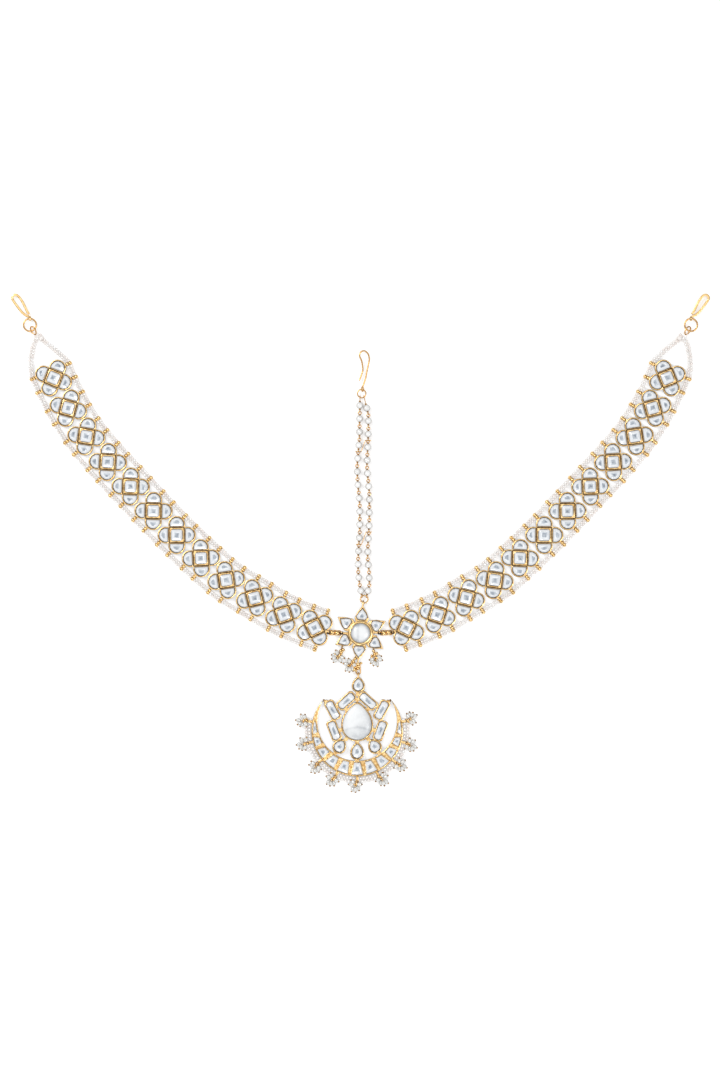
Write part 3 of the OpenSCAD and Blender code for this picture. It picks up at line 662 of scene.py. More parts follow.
class PattiLook(bpy.types.PropertyGroup):
    """Colours and sizes of the finish"""
    gold: tint("Gold", "Colour of the gold plating", (0.72, 0.45, 0.17))
    gold_light: tint("Light gold", "Gold where it is worn bright", (0.90, 0.66, 0.33))
    wire_gold: tint("Wire gold", "Brighter gold of the wires", (0.80, 0.50, 0.20))
    wire_brown: tint("Wire brown", "Darker gold of the wires", (0.52, 0.28, 0.09))
    gold_brown: tint("Brown gold", "Gold of the settings where it has dulled", (0.55, 0.31, 0.10))
    # Painted shade on the settings' sloping sides and in the groove strips; also the own dark brown of the
    # pins' heads
    brown_and_side_shade: tint("Gold edge", "Browned edges of the settings", (0.20, 0.10, 0.035))
    # Painted shade in the settings' grooves and recesses, also used in the groove strips and the loops at the
    # link ends
    dark_shade_brown: tint("Deep gold", "Browned gold in the grooves", (0.045, 0.018, 0.005))
    # Painted shade: the near-black of the loops at the side links' ends
    eye_shade_black: tint("Black wire", "Blackened binding wire", (0.012, 0.010, 0.009))
    stone_dark: tint("Dark facet", "Darkest facets of the cut stones", (0.08, 0.10, 0.14))
    stone_grey: tint("Grey facet", "Middle facets of the cut stones", (0.28, 0.32, 0.37))
    stone_light: tint("Light facet", "Light facets of the cut stones", (0.50, 0.54, 0.58))
    stone_rim: tint("Stone rim", "Edges of the cut stones", (0.80, 0.82, 0.84))
    # Painted shade on the domed stones
    dome_shade_grey: tint("Dome grey", "Shaded side of the domed stones", (0.40, 0.42, 0.44))
    dome_light: tint("Dome light", "Body of the domed stones", (0.80, 0.81, 0.81))
    pearl_grey: tint("Pearl grey", "Duller pearls", (0.74, 0.73, 0.71))
    pearl_light: tint("Pearl white", "Brightest pearls", (0.90, 0.90, 0.89))
    # Painted shade round the lower sides of the strand pearls and the small pearls
    pearl_edge_shade: tint("Pearl edge", "Shade round each pearl", (0.24, 0.20, 0.16))
    drop_grey: tint("Small pearl grey", "Duller small pearls", (0.84, 0.83, 0.79))
    drop_light: tint("Small pearl white", "Brightest small pearls", (0.95, 0.95, 0.92))
    seed_edge_shade: tint("Seed edge", "Shade round each seed bead", (0.48, 0.38, 0.30))
    seed_pink: tint("Seed pink", "Pinkish seed beads", (0.90, 0.82, 0.78))
    seed_cream: tint("Seed cream", "Cream seed beads", (0.93, 0.89, 0.85))
    seed_white: tint("Seed white", "White seed beads", (0.97, 0.96, 0.95))
    table: tint("Table", "Shade of the table", (0.62, 0.62, 0.62))
    table_light: tint("Table light", "Lighter shade of the table", (0.64, 0.64, 0.64))
    seed_across: measure("Seed bead", "Width of a seed bead in mm", 1.12)
    seed_pitch: measure("Seed pitch", "Room for each seed bead along its thread in mm", 1.34)
    row_spread: measure("Row spread", "Half the distance between the two rows in mm", 0.56)
    pearl_across: measure("Pearl", "Width of a strand's pearl in mm", 3.0)
    edge_round: measure("Edge rounding", "Rounding of the bezels' edges in mm", 0.17)


class PattiStage(bpy.types.Operator):
    """Sets the camera above the jewel, the pale table and the soft lights"""
    bl_idname = "patti.stage"
    bl_label = "Stage"

    # Name, place and aim in mm, size in mm, power in watts
    LIGHTS = (
        ("ceiling", (0, 60, 1700), (0, 60, 0), 1600, 8),
        ("key", (-620, 520, 900), (0, 40, 0), 420, 6),
        ("fill", (640, -260, 800), (0, 30, 0), 360, 3),
        ("low", (-160, -820, 420), (0, 0, 0), 260, 1.6),
    )
    CAMERA_MIDDLE = (-0.2, 39.0)
    CAMERA_HEIGHT = 1260
    CAMERA_LENS = 100
    TABLE_SIZE = 6000
    ROOM_COLOUR = (0.95, 0.97, 1.0, 1)
    ROOM_STRENGTH = 0.4

    def execute(self, context):
        camera = added(bpy.ops.object.camera_add, rotation=(0, 0, 0),
                       location=(*(v * MM for v in self.CAMERA_MIDDLE), self.CAMERA_HEIGHT * MM))
        camera.data.lens = self.CAMERA_LENS
        context.scene.camera = camera
        for name, place, aim, size, power in self.LIGHTS:
            way = Vector(aim) - Vector(place)
            light = added(bpy.ops.object.light_add, type="AREA", location=Vector(place) * MM,
                          rotation=way.to_track_quat("-Z", "Y").to_euler())
            light.name = name
            light.data.size = size * MM
            light.data.energy = power
        table = added(bpy.ops.mesh.primitive_plane_add, size=self.TABLE_SIZE * MM)
        table.name = "table"
        table.data.materials.append(finish_of("table"))
        world = bpy.data.worlds.new("room")
        world.use_nodes = True
        room = world.node_tree.nodes["Background"].inputs
        room["Color"].default_value = self.ROOM_COLOUR
        room["Strength"].default_value = self.ROOM_STRENGTH
        context.scene.world = world
        context.scene.view_settings.view_transform = "Standard"
        return {"FINISHED"}


class PattiMotifs(bpy.types.Operator):
    """Rounds the soldered frames of both bands, which end at their bead rows"""
    bl_idname = "patti.motifs"
    bl_label = "Band Motifs"

    # How far from the band's middle line edges are rounded, and where the knot collars are cut off
    ROUNDED = 6.65
    CUT = STRING_OFFSET - STRING_W / 2 - KNOT_GAP
    # Share of the grooves with dark strips of painted shade, and the strips' length, width and height
    GROOVE_SHARE = 0.8
    GROOVE_SPANS = (0.6, 1)
    GROOVE_FILL = 0.42
    GROOVE_Z = 1.92

    def execute(self, context):
        rng = random.Random(5)
        grooves = []
        for side in SIDES:
            for i in range(MOTIFS):
                self.bezels(side, i, context.scene.patti_look.edge_round)
                grooves += self.grooves(side, i, rng)
        # Dark strips of painted shade in the grooves
        give(wires("band_grooves", grooves, self.GROOVE_FILL), "gold", finish="groove")
        return {"FINISHED"}

    def bezels(self, side, i, edge_round):
        """The bezels of one motif, rounded, without its knot collars."""
        node = f"{side}_motif_{i + 1}"
        piece = copy_of(node, f"{side}_bezels_{i + 1}", "split")
        middle = sided(motif_place(i), side)
        across = sided(polar(1, motif_turn(i) + 90), side)
        soften(piece, edge_round,
               within=lambda v: v.z > BEZEL_TOP and abs((v.xy - middle).dot(across)) < self.ROUNDED)
        for sign in (-1, 1):
            place = sided(on_motif(i, 0, sign * self.CUT), side)
            editing(piece, (bpy.ops.mesh.bisect, {
                "plane_co": raised(place, 0) * MM, "plane_no": raised(sign * across, 0),
                "use_fill": True, "clear_outer": True}))
        give(piece, "gold", node, finish="set_gold")

    def grooves(self, side, i, rng):
        """Lines of dark painted shade along the sides of a motif's square."""
        lines = []
        for k in range(4):
            out = polar(1, motif_turn(i) + 45 + 90 * k)
            middle = motif_place(i) + (SQUARE_HALF + GROOVE_W / 2) * out
            if rng.random() < self.GROOVE_SHARE:
                spans = [sign * rng.uniform(*self.GROOVE_SPANS) * SQUARE_HALF for sign in (-1, 1)]
                start, end = [middle + span * out.orthogonal() for span in spans]
                lines.append([raised(sided(start.lerp(end, n / 4), side), self.GROOVE_Z) for n in range(5)])
        return lines


class PattiCutStones(bpy.types.Operator):
    """Facets the tables of all the cut stones, dark at their middles where the foil shows"""
    bl_idname = "patti.cut_stones"
    bl_label = "Cut Stones"

    STONES = ("left_band_stones", "right_band_stones", "star_petal_stones", "pendant_pears",
              "pendant_baguettes", "crescent_stones")
    # Least area of a stone's table in square mm
    TABLE_AREA = 0.2
    # Size of each ring of facets inside the last, how far it may lie off the middle, and the dip of the last
    RINGS = (0.8, 0.68, 0.52)
    SHIFTS = (0.05, 0.2)
    DIP = 0.1
    # Tones of the crown, of the rings on the table and of its middle
    TONES = ((0.85, 1.0), (0.5, 1.0), (0.2, 0.75), (0.05, 0.55))
    # Reach of a motif's square stone from its middle and to its sides, and how far its corners are drawn out
    SQUARE_REACH = 3.1
    SQUARE_SIDE = 2.7
    DRAWN_OUT = 1.4

    def execute(self, context):
        rng = random.Random(11)
        for node in self.STONES:
            piece = copy_of(node, node.replace("stones", "facets").replace("pendant_", "cut_"))
            if "band" in node:
                for i in range(MOTIFS):
                    self.square_up(piece.data, i, node.split("_")[0])
            if node == "crescent_stones":
                for v in piece.data.vertices:
                    v.co = PattiSettings.widened(v.co / MM) * MM
            mark(piece.data, "tone", [rng.uniform(*self.TONES[ring]) for ring in self.facets(piece, rng)])
            give(piece, "cut_stone", node)
        return {"FINISHED"}

    def facets(self, piece, rng):
        """Insets the stones' tables ring by ring, a little off their middles, and tells each point's ring."""
        mesh = piece.data
        rings = [0] * len(mesh.vertices)
        mesh.polygons.foreach_set("select", [face.normal.z > 0.99 and face.area > self.TABLE_AREA * MM * MM
                                             for face in mesh.polygons])
        for ring, share in enumerate(self.RINGS, 1):
            editing(piece, (bpy.ops.mesh.inset, {"thickness": 0.0, "use_individual": True}),
                    choose=lambda face: face.select)
            rings += [ring] * (len(mesh.vertices) - len(rings))
            for face in mesh.polygons:
                if face.select:
                    corners = [mesh.vertices[k] for k in face.vertices]
                    towards = rng.choice(corners).co
                    middle = face.center.lerp(towards, rng.uniform(self.SHIFTS[0], self.SHIFTS[1] * ring))
                    middle.z = face.center.z - (self.DIP * MM if ring == len(self.RINGS) else 0)
                    for corner in corners:
                        corner.co = middle.lerp(corner.co, share)
        return rings

    def square_up(self, mesh, i, side):
        """Draws the clipped corners of a motif's square stone out into the corners of its bezel."""
        middle = raised(sided(motif_place(i), side), 0)
        turn = Matrix.Rotation(SIDES[side] * math.radians(motif_turn(i) + 45), 3, "Z")
        for v in mesh.vertices:
            place = turn.transposed() @ (v.co / MM - middle)
            if place.xy.length < self.SQUARE_REACH and max(abs(place.x), abs(place.y)) < self.SQUARE_SIDE:
                if abs(place.x) < abs(place.y):
                    place.x *= self.DRAWN_OUT
                else:
                    place.y *= self.DRAWN_OUT
                v.co = (turn @ place + middle) * MM


class PattiDomes(bpy.types.Operator):
    """Smooths the round dome of the star and the large pear dome of the pendant"""
    bl_idname = "patti.domes"
    bl_label = "Domed Stones"

    # Start and width of the star's grey edge of painted shade, place and width of its darker streak, and of
    # the pear's darker band
    EDGE = (2.6, 1.6)
    STREAK = (-1.1, 0.7)
    BAND = (-2.2, 0.5)

    def execute(self, context):
        for node, name, shade in (("star_centre_stone", "star_dome", self.star_painted_shade),
                                  ("pendant_centre_stone", "pear_dome", self.pear_painted_light)):
            piece = copy_of(node, name)
            rounded(piece, 2)
            refit(piece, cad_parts[node])
            mark(piece.data, "tone", [shade(v.co / MM) for v in piece.data.vertices])
            give(piece, "domed_stone", node)
        return {"FINISHED"}

    def star_painted_shade(self, place):
        """White, with painted shade in a grey edge, and a soft darker upright streak left of the middle."""
        edge = max(0, (place.xy.length - self.EDGE[0]) / self.EDGE[1])
        streak = math.exp(-((place.x - self.STREAK[0]) / self.STREAK[1]) ** 2) * 0.3
        return 0.85 - 0.75 * edge - streak

    def pear_painted_light(self, place):
        """Painted light and shade: white above, grey below and to the right, with a faint darker band across.
        """
        across, up = place.x - PENDANT.x, place.y - PENDANT.y - PattiSettings.PEARS[0][1]
        band = math.exp(-((up - self.BAND[0] + 0.05 * across ** 2) / self.BAND[1]) ** 2) * 0.22
        return 0.75 + 0.035 * up - 0.045 * across - band


class PattiSettings(bpy.types.Operator):
    """Rounds the soldered frames of the star and the pendant"""
    bl_idname = "patti.settings"
    bl_label = "Star and Pendant Frames"

    # Radius, wire and height of the collar round the star's stone
    COLLAR_R = 4.62
    COLLAR_WIRE = 1.25
    COLLAR_Z = 2.75
    # Places and sizes of the solder beads between the crescent's tips and the baguettes, from PENDANT
    HORN_SOLDER = ((14, 12.9, 0.7), (13.65, 12.5, 1), (13.2, 11.9, 1))
    SOLDER = 1.1
    SOLDER_Z = 1.45
    # Middle, width, length and tilt of the pear bezels, from PENDANT
    PEARS = ((0, 3.75, 13.5, 16.8, 0), (0.5, 19.3, 5.5, 6.8, 0), (0, -8.6, 5.8, 7.6, 0),
             (7.28, -6.48, 5.7, 6.7, 34.1), (-7.28, -6.48, 5.7, 6.7, -34.1))
    # How pointed a pear is, and its rim's wire, height and distance inside the bezel's sides and ends
    PEAR_POINT = 0.45
    PEAR_WIRE = 0.6
    PEAR_Z = 1.86
    PEAR_INSET = (0.27, 0.4)
    # Angle and half angle of each crescent stone, and how much wider than its pocket it is drawn
    CRESCENT = ((0, 7.4), (19.7, 7.2), (39.3, 7), (58, 6.4), (75.2, 6), (94, 8))
    WIDER = 1.18
    # Outer radius of the crescent, rise and radius of its inner circle, and the rims' wire, height and inset
    CRESCENT_R = 19.2
    CRESCENT_INNER = (4.0, 16.7)
    CRESCENT_WIRE = 0.42
    CRESCENT_Z = 1.95
    CRESCENT_INSET = 0.4
    # Corners of a crescent rim: shares of the way out and of the half angle
    CORNERS = ((0, -0.72), (0.5, -0.92), (1, -1), (1, 0), (1, 1), (0.5, 0.92), (0, 0.72), (0, 0))

    def execute(self, context):
        for node, name in (("star_frame", "star_bezels"), ("pendant_frame", "pendant_bezels")):
            piece = copy_of(node, name, "split")
            soften(piece, context.scene.patti_look.edge_round, within=lambda v: v.z > BEZEL_TOP)
            give(piece, "gold", node, finish="set_gold")
        collar = ring_pattern(self.COLLAR_R, self.COLLAR_WIRE, 64, 16)
        give(strung("star_collar", [(collar, [(laid((0, 0, self.COLLAR_Z)), 1)])]), "gold")
        solder = [(laid(raised(PENDANT + Vector((sign * x, y)), self.SOLDER_Z), size=size), 1)
                  for x, y, size in self.HORN_SOLDER for sign in (-1, 1)]
        bead = bead_pattern(self.SOLDER, 1.0, 14, 10)
        give(strung("horn_solder", [(bead, solder)]), "gold", finish="set_gold")
        rims = [self.pear_rim(*pear) for pear in self.PEARS]
        give(wires("pear_rims", rims, self.PEAR_WIRE, True), "gold", finish="set_gold")
        rims = [self.crescent_rim(sign * turn, half)
                for turn, half in self.CRESCENT for sign in ((-1, 1) if turn else (1,))]
        give(wires("crescent_rims", rims, self.CRESCENT_WIRE, True), "gold", finish="set_gold")
        return {"FINISHED"}

    @classmethod
    def widened(cls, place):
        """A point of a crescent stone, drawn away from the stone's middle line."""
        spot = place.xy - PENDANT
        turn = math.degrees(math.atan2(spot.x, -spot.y))
        middle = min((sign * a for a, _ in cls.CRESCENT for sign in (-1, 1)), key=lambda a: abs(a - turn))
        return raised(PENDANT + polar(spot.length, middle + (turn - middle) * cls.WIDER - 90), place.z)

    def pear_rim(self, x, y, across, long, tilt):
        """The middle line of a pear bezel's wall."""
        def side(a):
            return math.sin(a) * abs(math.sin(a / 2)) ** self.PEAR_POINT

        widest = max(side(math.radians(a)) for a in range(90, 141, 2))
        turn = Matrix.Rotation(math.radians(tilt), 2)
        line = []
        for k in range(32):
            a = math.tau * k / 32
            spot = turn @ Vector(((self.PEAR_INSET[0] - across / 2) * side(a) / widest,
                                  (long / 2 - self.PEAR_INSET[1]) * math.cos(a)))
            line.append(raised(PENDANT + Vector((x, y)) + spot, self.PEAR_Z))
        return line

    def crescent_rim(self, middle, half):
        """The line round a crescent stone, just outside its pocket."""
        rise, radius = self.CRESCENT_INNER
        corners = []
        for out, along in self.CORNERS:
            turn = middle + half * along * self.WIDER * 1.02
            drop = rise * math.cos(math.radians(turn))
            low = math.sqrt(drop * drop + radius * radius - rise * rise) - drop + self.CRESCENT_INSET
            spot = polar(low + out * (self.CRESCENT_R - self.CRESCENT_INSET - low), turn - 90)
            corners.append(raised(PENDANT + spot, self.CRESCENT_Z))
        return [a.lerp(b, t) for a, b in zip(corners, corners[1:] + corners[:1])
                for t in (0, 0.15, 0.5, 0.85)]


class PattiSeedRows(bpy.types.Operator):
    """Strings two rows of seed beads along both edges of each band, with gold beads at the knots"""
    bl_idname = "patti.seed_rows"
    bl_label = "Seed Bead Rows"

    # How far a bead may lie off its place, and how far it may lean
    MOVES = (0.05, 0.05, 0.04)
    LEAN = 0.1
    # Width of a knot's gold beads, their distance from the thread, and the room beside them
    KNOT_BEAD = 1.75
    KNOT_SPREAD = 0.62
    KNOT_ROOM = 0.1
    # Share of the way to the bail where the rows draw together, and how far
    NARROW_FROM = 0.7
    NARROWED = 0.8
    # Widths and places of the larger bead near the bail and of the small bead beside it
    STOP_BEAD = 2.3
    STOP_PLACE = (133.9, 123.7, WIRE_Z + 0.1)
    SMALL_SIZE = 0.55
    SMALL_PLACE = (134.2, 125.1, WIRE_Z + 0.1)
    THREAD = 0.3

    def execute(self, context):
        look = context.scene.patti_look
        for side in SIDES:
            seeds, golds = self.rows(side, look)
            seed = bead_pattern(look.seed_across, 0.5, 12, 8, stretch=1.12)
            give(strung(f"{side}_seed_rows", [(seed, seeds)]), "seed_bead", f"{side}_bead_string")
            give(strung(f"{side}_knots", [(bead_pattern(self.KNOT_BEAD, 0.8, 14, 10), golds)]), "gold")
            self.stop_bead(side)
            self.thread(side)
        return {"FINISHED"}

    def rows(self, side, look):
        """The seed beads and the knots' gold beads of one band."""
        rng = random.Random(23 + SIDES[side])
        seeds, golds = [], []
        for edge in EDGES:
            spans = edge_spans(edge)
            for span in spans:
                a, b, side_a, side_b = span
                knots = [(a, side_a), (b, side_b)] if span is spans[-1] else [(a, side_a)]
                for row in (-1, 1):
                    line = [a + row * look.row_spread * side_a, b + row * look.row_spread * side_b]
                    seeds += self.beads(spaced(line, look.seed_pitch, KNOT_L / 2 + self.KNOT_ROOM), side, rng)
                    golds += self.beads([(knot + row * self.KNOT_SPREAD * aside, (b - a).normalized())
                                         for knot, aside in knots], side, rng)
            line = apex_line(edge) + [APEX]
            rows = rows_of(line, lambda t: look.row_spread * (1 if t < self.NARROW_FROM else self.NARROWED))
            for row in rows:
                seeds += self.beads(spaced(row, look.seed_pitch, KNOT_L / 2), side, rng)
        return seeds, golds

    def beads(self, found, side, rng):
        """Beads at the places of a row, each a little off its place and leaning."""
        made = []
        for place, way in found:
            jitter = Vector([rng.uniform(-move, move) for move in self.MOVES])
            lean = raised(way, rng.uniform(-self.LEAN, self.LEAN)) + jitter
            at = raised(place, WIRE_Z) + jitter
            made.append((laid(sided(at, side), sided(lean, side), rng.uniform(*ANY_ROLL),
                              rng.uniform(*SEED_SIZES)), rng.random()))
        return made

    def stop_bead(self, side):
        """One larger bead near the bail, with a small one beside it."""
        a, b = apex_line("in")[-3:-1]
        large = laid(sided(self.STOP_PLACE, side), sided(raised(b - a, 0), side))
        small = laid(sided(self.SMALL_PLACE, side), (1, 0, 0), 0, self.SMALL_SIZE)
        pattern = bead_pattern(self.STOP_BEAD, 0.8, 20, 14)
        give(strung(f"{side}_stop_bead", [(pattern, [(large, 0.3), (small, 0.0)])]), "seed_bead")

    def thread(self, side):
        """The thread that both edges share, where it goes round the bail."""
        round_bail = [APEX + along * polar(1, APEX_TURN) + across * polar(1, APEX_TURN + 90)
                      for along, across in THREAD_ROUND]
        line = apex_line("out")[-2:] + round_bail + apex_line("in")[:-3:-1]
        way = [raised(sided(place, side), WIRE_Z) for place in line]
        give(wires(f"{side}_thread", [way], self.THREAD), "seed_bead", finish="thread")


class PattiRimSeeds(bpy.types.Operator):
    """Strings the seed beads along the crescent's outer edge"""
    bl_idname = "patti.rim_seeds"
    bl_label = "Crescent Seed Beads"

    # How far each row lies outside the thread of the rim, and the degrees that it goes past the last cluster
    ROWS = (0.15, 1.45)
    PAST = 4
    # Width of a bead, its pitch against that on the bands, and the outer row's room beside a hub
    BEAD = 1.36
    PITCH = 1.04
    HUB_ROOM = 1.5
    # How far a bead may lie off its height, and how far it may lean
    RISES = (-0.05, 0.15)
    LEANS = (-0.2, 0.2)

    def execute(self, context):
        rng = random.Random(31)
        reach = (CLUSTERS - 1) / 2 * CLUSTER_STEP + self.PAST
        hubs = [place for group, place, _ in cluster_places() if group == "pendant"]
        seeds = []
        for out in self.ROWS:
            line = [PENDANT + polar(RIM_REACH + out, -90 - reach + 2 * reach * k / 60) for k in range(61)]
            for place, way in spaced(line, context.scene.patti_look.seed_pitch * self.PITCH):
                if out == self.ROWS[0] or min((place - hub).length for hub in hubs) > self.HUB_ROOM:
                    at = raised(place, WIRE_Z + rng.uniform(*self.RISES))
                    lean = raised(way, rng.uniform(*self.LEANS))
                    seeds.append((laid(at, lean, 0, rng.uniform(*SEED_SIZES)), rng.random()))
        give(strung("rim_seeds", [(bead_pattern(self.BEAD, 0.6, 14, 10), seeds)]), "seed_bead", "rim_string")
        return {"FINISHED"}


def strand_joints(x, y):
    """Joints of one pearl strand, from the middle ring down to the star's ring."""
    top = Vector((x[0], MIDDLE_RING.y - math.sqrt(MIDDLE_RING_R ** 2 - (x[0] - MIDDLE_RING.x) ** 2)))
    low = Vector((x[-1], STAR_RING.y + math.sqrt(STAR_RING_R ** 2 - (x[-1] - STAR_RING.x) ** 2)))
    steps = PEARLS - 2
    return [top] + [Vector((x[k + 1], y[0] + (y[1] - y[0]) * k / steps)) for k in range(PEARLS - 1)] + [low]


class PattiStrands(bpy.types.Operator):
    """Threads the pearls of both parting strands on their looped wires"""
    bl_idname = "patti.strands"
    bl_label = "Pearl Strands"

    # Sizes of the pearls against the widest
    PEARL_SIZES = (0.96, 1.0)
    # Turns of wire wrapped beside each pearl, from its middle, and their radius, wire and tilt
    WRAPS = (-1.85, -1.6, 1.6, 1.85)
    WRAP_R = 0.34
    WRAP_WIRE = 0.3
    WRAP_TILT = Vector((0.1, 0, 0.1))

    def execute(self, context):
        rng = random.Random(47)
        pattern = bead_pattern(context.scene.patti_look.pearl_across, 0.86, 24, 14, drop=0.08)
        wrap = ring_pattern(self.WRAP_R, self.WRAP_WIRE, 12, 6)
        for side, x, y in (("left", LEFT_X, LEFT_Y), ("right", RIGHT_X, RIGHT_Y)):
            joints = strand_joints(x, y)
            copies, wraps = [], []
            for i in range(PEARLS):
                link = joints[i] - joints[i + 1]
                low = 0 if i == PEARLS - 1 else LOOP_HANG
                high = link.length - (0 if i == 0 else LOOP_HANG)
                seat = (y[0] - y[1]) / (PEARLS - 2) / 2 if i == 0 else (low + high) / 2
                place = raised(joints[i + 1] + seat * link.normalized(), STRAND_Z)
                copies.append((laid(place, raised(link, 0), rng.uniform(*ANY_ROLL),
                                    rng.uniform(*self.PEARL_SIZES)), rng.random()))
                way = raised(link.normalized(), 0)
                wraps += [(laid(place + out * way, way + self.WRAP_TILT), 1) for out in self.WRAPS]
            give(strung(f"{side}_pearls", [(pattern, copies)]), "pearl", f"{side}_strand_pearls")
            give(strung(f"{side}_wraps", [(wrap, wraps)]), "gold", finish="wire_gold")
            piece = copy_of(f"{side}_strand_wires", f"{side}_loops")
            soften(piece, limit=50)
            give(piece, "gold", f"{side}_strand_wires", finish="wire_gold")
        return {"FINISHED"}


class PattiWires(bpy.types.Operator):
    """Smooths the rings, ties, links, bails and hooks of gold wire"""
    bl_idname = "patti.wires"
    bl_label = "Rings, Links and Hooks"

    RINGS = ("strand_ties", "centre_ring", "pendant_link", "left_link", "left_ring", "right_link",
             "right_ring")
    BENT_WIRES = ("centre_hook", "left_bail", "right_bail")
    STRIPS = ("left_hook", "right_hook")
    # How much thicker the bent wires are after their smoothing, and the rounding of the strips' edges
    THICKER = 0.06
    STRIP_ROUND = 0.22
    # Radius and wire of the dark loops of painted shade at a link's ends, their leans, and how far they stand
    # up
    LOOP_R = 0.6
    LOOP_WIRE = 0.55
    LOOP_LEANS = (-0.6, 0, 0.6)
    LOOP_RISE = Vector((0, 0, 0.3))
    # Width of the balls on each link, their distance from its middle, and how far they stand up
    BALL = 2.2
    BALL_STEP = 1.0
    BALL_RISE = 0.6
    # Number and height of the granules on the star's ring
    RING_GRANULES = 12
    RING_Z = 1.4
    # Number, width and sizes of the granules on the pendant's link, their middle and room along X, Y and Z
    HEAPED = 20
    HEAP_GRANULE = 0.95
    HEAP_SIZES = (0.9, 1.4)
    HEAP = ((-1.1, -1.7, 1.7), (-14.4, -1.8, 1.8), (WIRE_Z, 0, 0.8))

    def execute(self, context):
        self.link_trim()
        self.granules()
        for node in self.RINGS:
            piece = copy_of(node, node + "_gold")
            soften(piece, limit=50)
            give(piece, "gold", node, finish="wire_gold")
        for node in self.BENT_WIRES:
            piece = copy_of(node, node + "_gold", "quads")
            rounded(piece)
            editing(piece, (bpy.ops.transform.shrink_fatten, {"value": self.THICKER * MM}))
            give(piece, "gold", node, finish="wire_gold")
        for node in self.STRIPS:
            piece = copy_of(node, node + "_gold")
            soften(piece, self.STRIP_ROUND, 3)
            give(piece, "gold", node)
        return {"FINISHED"}

    def link_trim(self):
        """Dark loops of painted shade at both ends of the side links, where their eyes lie in shadow, and two
        balls on each.
        """
        ends = Vector((LINK_INNER, 0)), on_motif(0, -LINK_OUTER, 0)
        loops = [sided(raised(end, WIRE_Z), side) + self.LOOP_RISE for end in ends for side in SIDES]
        dark = [(laid(place, (lean, 1, 0.5)), 1) for place in loops for lean in self.LOOP_LEANS]
        loop = ring_pattern(self.LOOP_R, self.LOOP_WIRE)
        give(strung("eye_shade_loops", [(loop, dark)]), "gold", finish="dark_wire")
        step = self.BALL_STEP * (ends[1] - ends[0]).normalized()
        spots = [raised(ends[0].lerp(ends[1], 0.5) + sign * step, WIRE_Z + self.BALL_RISE)
                 for sign in (-1, 1)]
        balls = [(laid(sided(spot, side)), 1) for side in SIDES for spot in spots]
        give(strung("link_balls", [(bead_pattern(self.BALL, 1.0, 24, 16), balls)]), "gold")

    def granules(self):
        """Granules round the star's ring and heaped on the pendant's link."""
        spots = [polar(STAR_RING_R, 360 / self.RING_GRANULES * k) for k in range(self.RING_GRANULES)]
        grains = [(laid(raised(STAR_RING + spot, self.RING_Z)), 1) for spot in spots]
        give(strung("ring_granules", [(bead_pattern(GRANULE, 1.0, 12, 8), grains)]), "gold", "star_top_ring")
        rng = random.Random(71)
        heap = [(laid([middle + rng.uniform(low, high) for middle, low, high in self.HEAP],
                      size=rng.uniform(*self.HEAP_SIZES)), 1) for _ in range(self.HEAPED)]
        give(strung("link_granules", [(bead_pattern(self.HEAP_GRANULE, 1.0, 12, 8), heap)]), "gold")


def cluster_places():
    """The group, place and turn of each cluster of small pearls."""
    for (x, y), turn in STAR_HUBS:
        yield "star", Vector((x, y)), turn
    for k, tilt in enumerate(CLUSTER_TURNS):
        turn = -90 + (k - (CLUSTERS - 1) / 2) * CLUSTER_STEP
        yield "pendant", PENDANT + polar(HUB_REACH, turn), turn + tilt


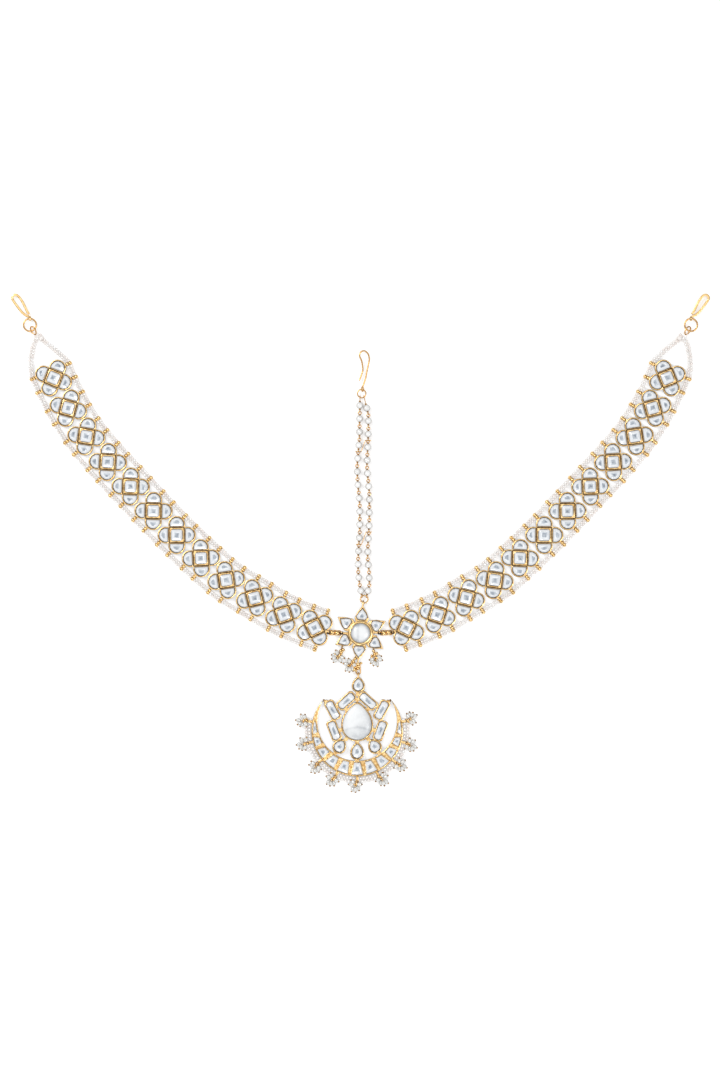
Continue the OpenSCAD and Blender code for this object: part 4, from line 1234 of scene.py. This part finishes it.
class PattiFringes(bpy.types.Operator):
    """Hangs small pearls on headed gold pins from the star and the crescent"""
    bl_idname = "patti.fringes"
    bl_label = "Pearl Fringes"

    RING_WIRE = 0.36
    # Wire and length of a pin, how far it goes past its pearl's middle, and the width of its head
    PIN = 0.3
    PIN_L = 3.2
    PIN_PAST = 1.1
    HEAD = 0.8
    # Distance of the head from the pearl's middle against the pearl's width, and the pearls' sizes
    HEAD_STEP = 0.6
    PEARL_SIZES = (0.88, 1.0)
    # Number, reach and size of the granules heaped round each ring, with least reach, sway, rise and sizes
    HEAPS = {"star": (9, 2.0, 1.45), "pendant": (7, 1.1, 1.15)}
    HEAP_START = 0.45
    HEAP_SWAY = 20
    HEAP_RISES = (-0.2, 0.5)
    HEAP_SIZES = (0.8, 1.2)
    # Places of the granules along each stem of the star, their size and rise
    STEM = (-1.9, -0.6)
    STEM_SIZE = 1.7
    STEM_RISE = 0.3
    # Least and most swing, reach and lift of the pearls heaped over each cluster, the first to either side
    HEAPED = ((25, 35, 2.0, 1.5), (85, 125, 1.5, 0.9), (-125, -85, 1.5, 0.9))

    def execute(self, context):
        rng = random.Random(59)
        ring = ring_pattern(DROP_RING_R, self.RING_WIRE)
        granule = bead_pattern(GRANULE, 1.0, 12, 8)
        head = bead_pattern(self.HEAD, 1.0, 12, 8)
        pin = pin_pattern(self.PIN, self.PIN_L)
        pearl = bead_pattern(DROP_PEARL, 0.9, 18, 12, drop=0.15, stretch=1.25)
        kinds = ("ring", "granule", "head", "pin", "pearl")
        lots = {group: {kind: [] for kind in kinds} for group in self.HEAPS}
        for group, place, turn in cluster_places():
            self.hang(lots[group], group, place, turn, rng)
        for group, lot in lots.items():
            golds = [(ring, lot["ring"]), (granule, lot["granule"]), (pin, lot["pin"])]
            give(strung(f"{group}_pins", golds), "gold")
            give(strung(f"{group}_pin_heads", [(head, lot["head"])]), "gold", finish="brown_gold")
            small = strung(f"{group}_small_pearls", [(pearl, lot["pearl"])])
            give(small, "pearl", f"{group}_fringe", finish="drop_pearl")
        return {"FINISHED"}

    def hang(self, lot, group, place, turn, rng):
        """Adds one cluster's ring, granules, pins, heads and pearls to the lot of its group."""
        way = polar(1, turn)
        middle = raised(place + DROP_RING_R * way, WIRE_Z)
        knot = raised(place + 2 * DROP_RING_R * way, WIRE_Z)
        lot["ring"].append((laid(middle, raised(polar(1, turn + 90), 0)), 1))
        lot["granule"].append((laid(knot), 1))
        if group == "star":
            stem = [raised(place + out * way, WIRE_Z + self.STEM_RISE) for out in self.STEM]
            lot["granule"] += [(laid(spot, size=self.STEM_SIZE), 1) for spot in stem]
        count, most, size = self.HEAPS[group]
        for k in range(count):
            reach = rng.uniform(self.HEAP_START, most)
            sway = rng.uniform(-self.HEAP_SWAY, self.HEAP_SWAY)
            aside = raised(reach * polar(1, 360 / count * k + sway), rng.uniform(*self.HEAP_RISES))
            lot["granule"].append((laid(middle + aside, size=rng.uniform(*self.HEAP_SIZES) * size), 1))
        flips = rng.choice((-1, 1)), 1, 1
        heaped = [(flip * rng.uniform(least, most), reach, lift)
                  for flip, (least, most, reach, lift) in zip(flips, self.HEAPED)]
        for swing, reach, lift in [(*drop, 0) for drop in DROPS] + heaped:
            out = raised(polar(1, turn + swing), lift / 4)
            lot["pin"].append((laid(knot, out, 0, (reach + self.PIN_PAST) / self.PIN_L), 1))
            lot["head"].append((laid(knot + (reach + DROP_PEARL * self.HEAD_STEP) * out), 1))
            lot["pearl"].append((laid(knot + reach * out, -out, rng.uniform(*ANY_ROLL),
                                      rng.uniform(*self.PEARL_SIZES)), rng.random()))


OPERATORS = (PattiStage, PattiMotifs, PattiCutStones, PattiDomes, PattiSettings, PattiSeedRows, PattiRimSeeds,
             PattiStrands, PattiWires, PattiFringes)


class PattiPanel(bpy.types.Panel):
    """Lists the steps of the finish and its colours and sizes"""
    bl_idname = "VIEW3D_PT_patti"
    bl_label = "Matha Patti"
    bl_space_type = "VIEW_3D"
    bl_region_type = "UI"
    bl_category = "Matha Patti"

    def draw(self, context):
        for operator in OPERATORS:
            self.layout.operator(operator.bl_idname)
        for name in PattiLook.__annotations__:
            self.layout.prop(context.scene.patti_look, name)


def register():
    for cls in (PattiLook, *OPERATORS, PattiPanel):
        bpy.utils.register_class(cls)
    bpy.types.Scene.patti_look = bpy.props.PointerProperty(type=PattiLook)


def unregister():
    del bpy.types.Scene.patti_look
    for cls in (PattiPanel, *reversed(OPERATORS), PattiLook):
        bpy.utils.unregister_class(cls)


def main():
    register()
    for operator in OPERATORS:
        group, name = operator.bl_idname.split(".")
        getattr(getattr(bpy.ops, group), name)()


if __name__ == "__main__":
    main()
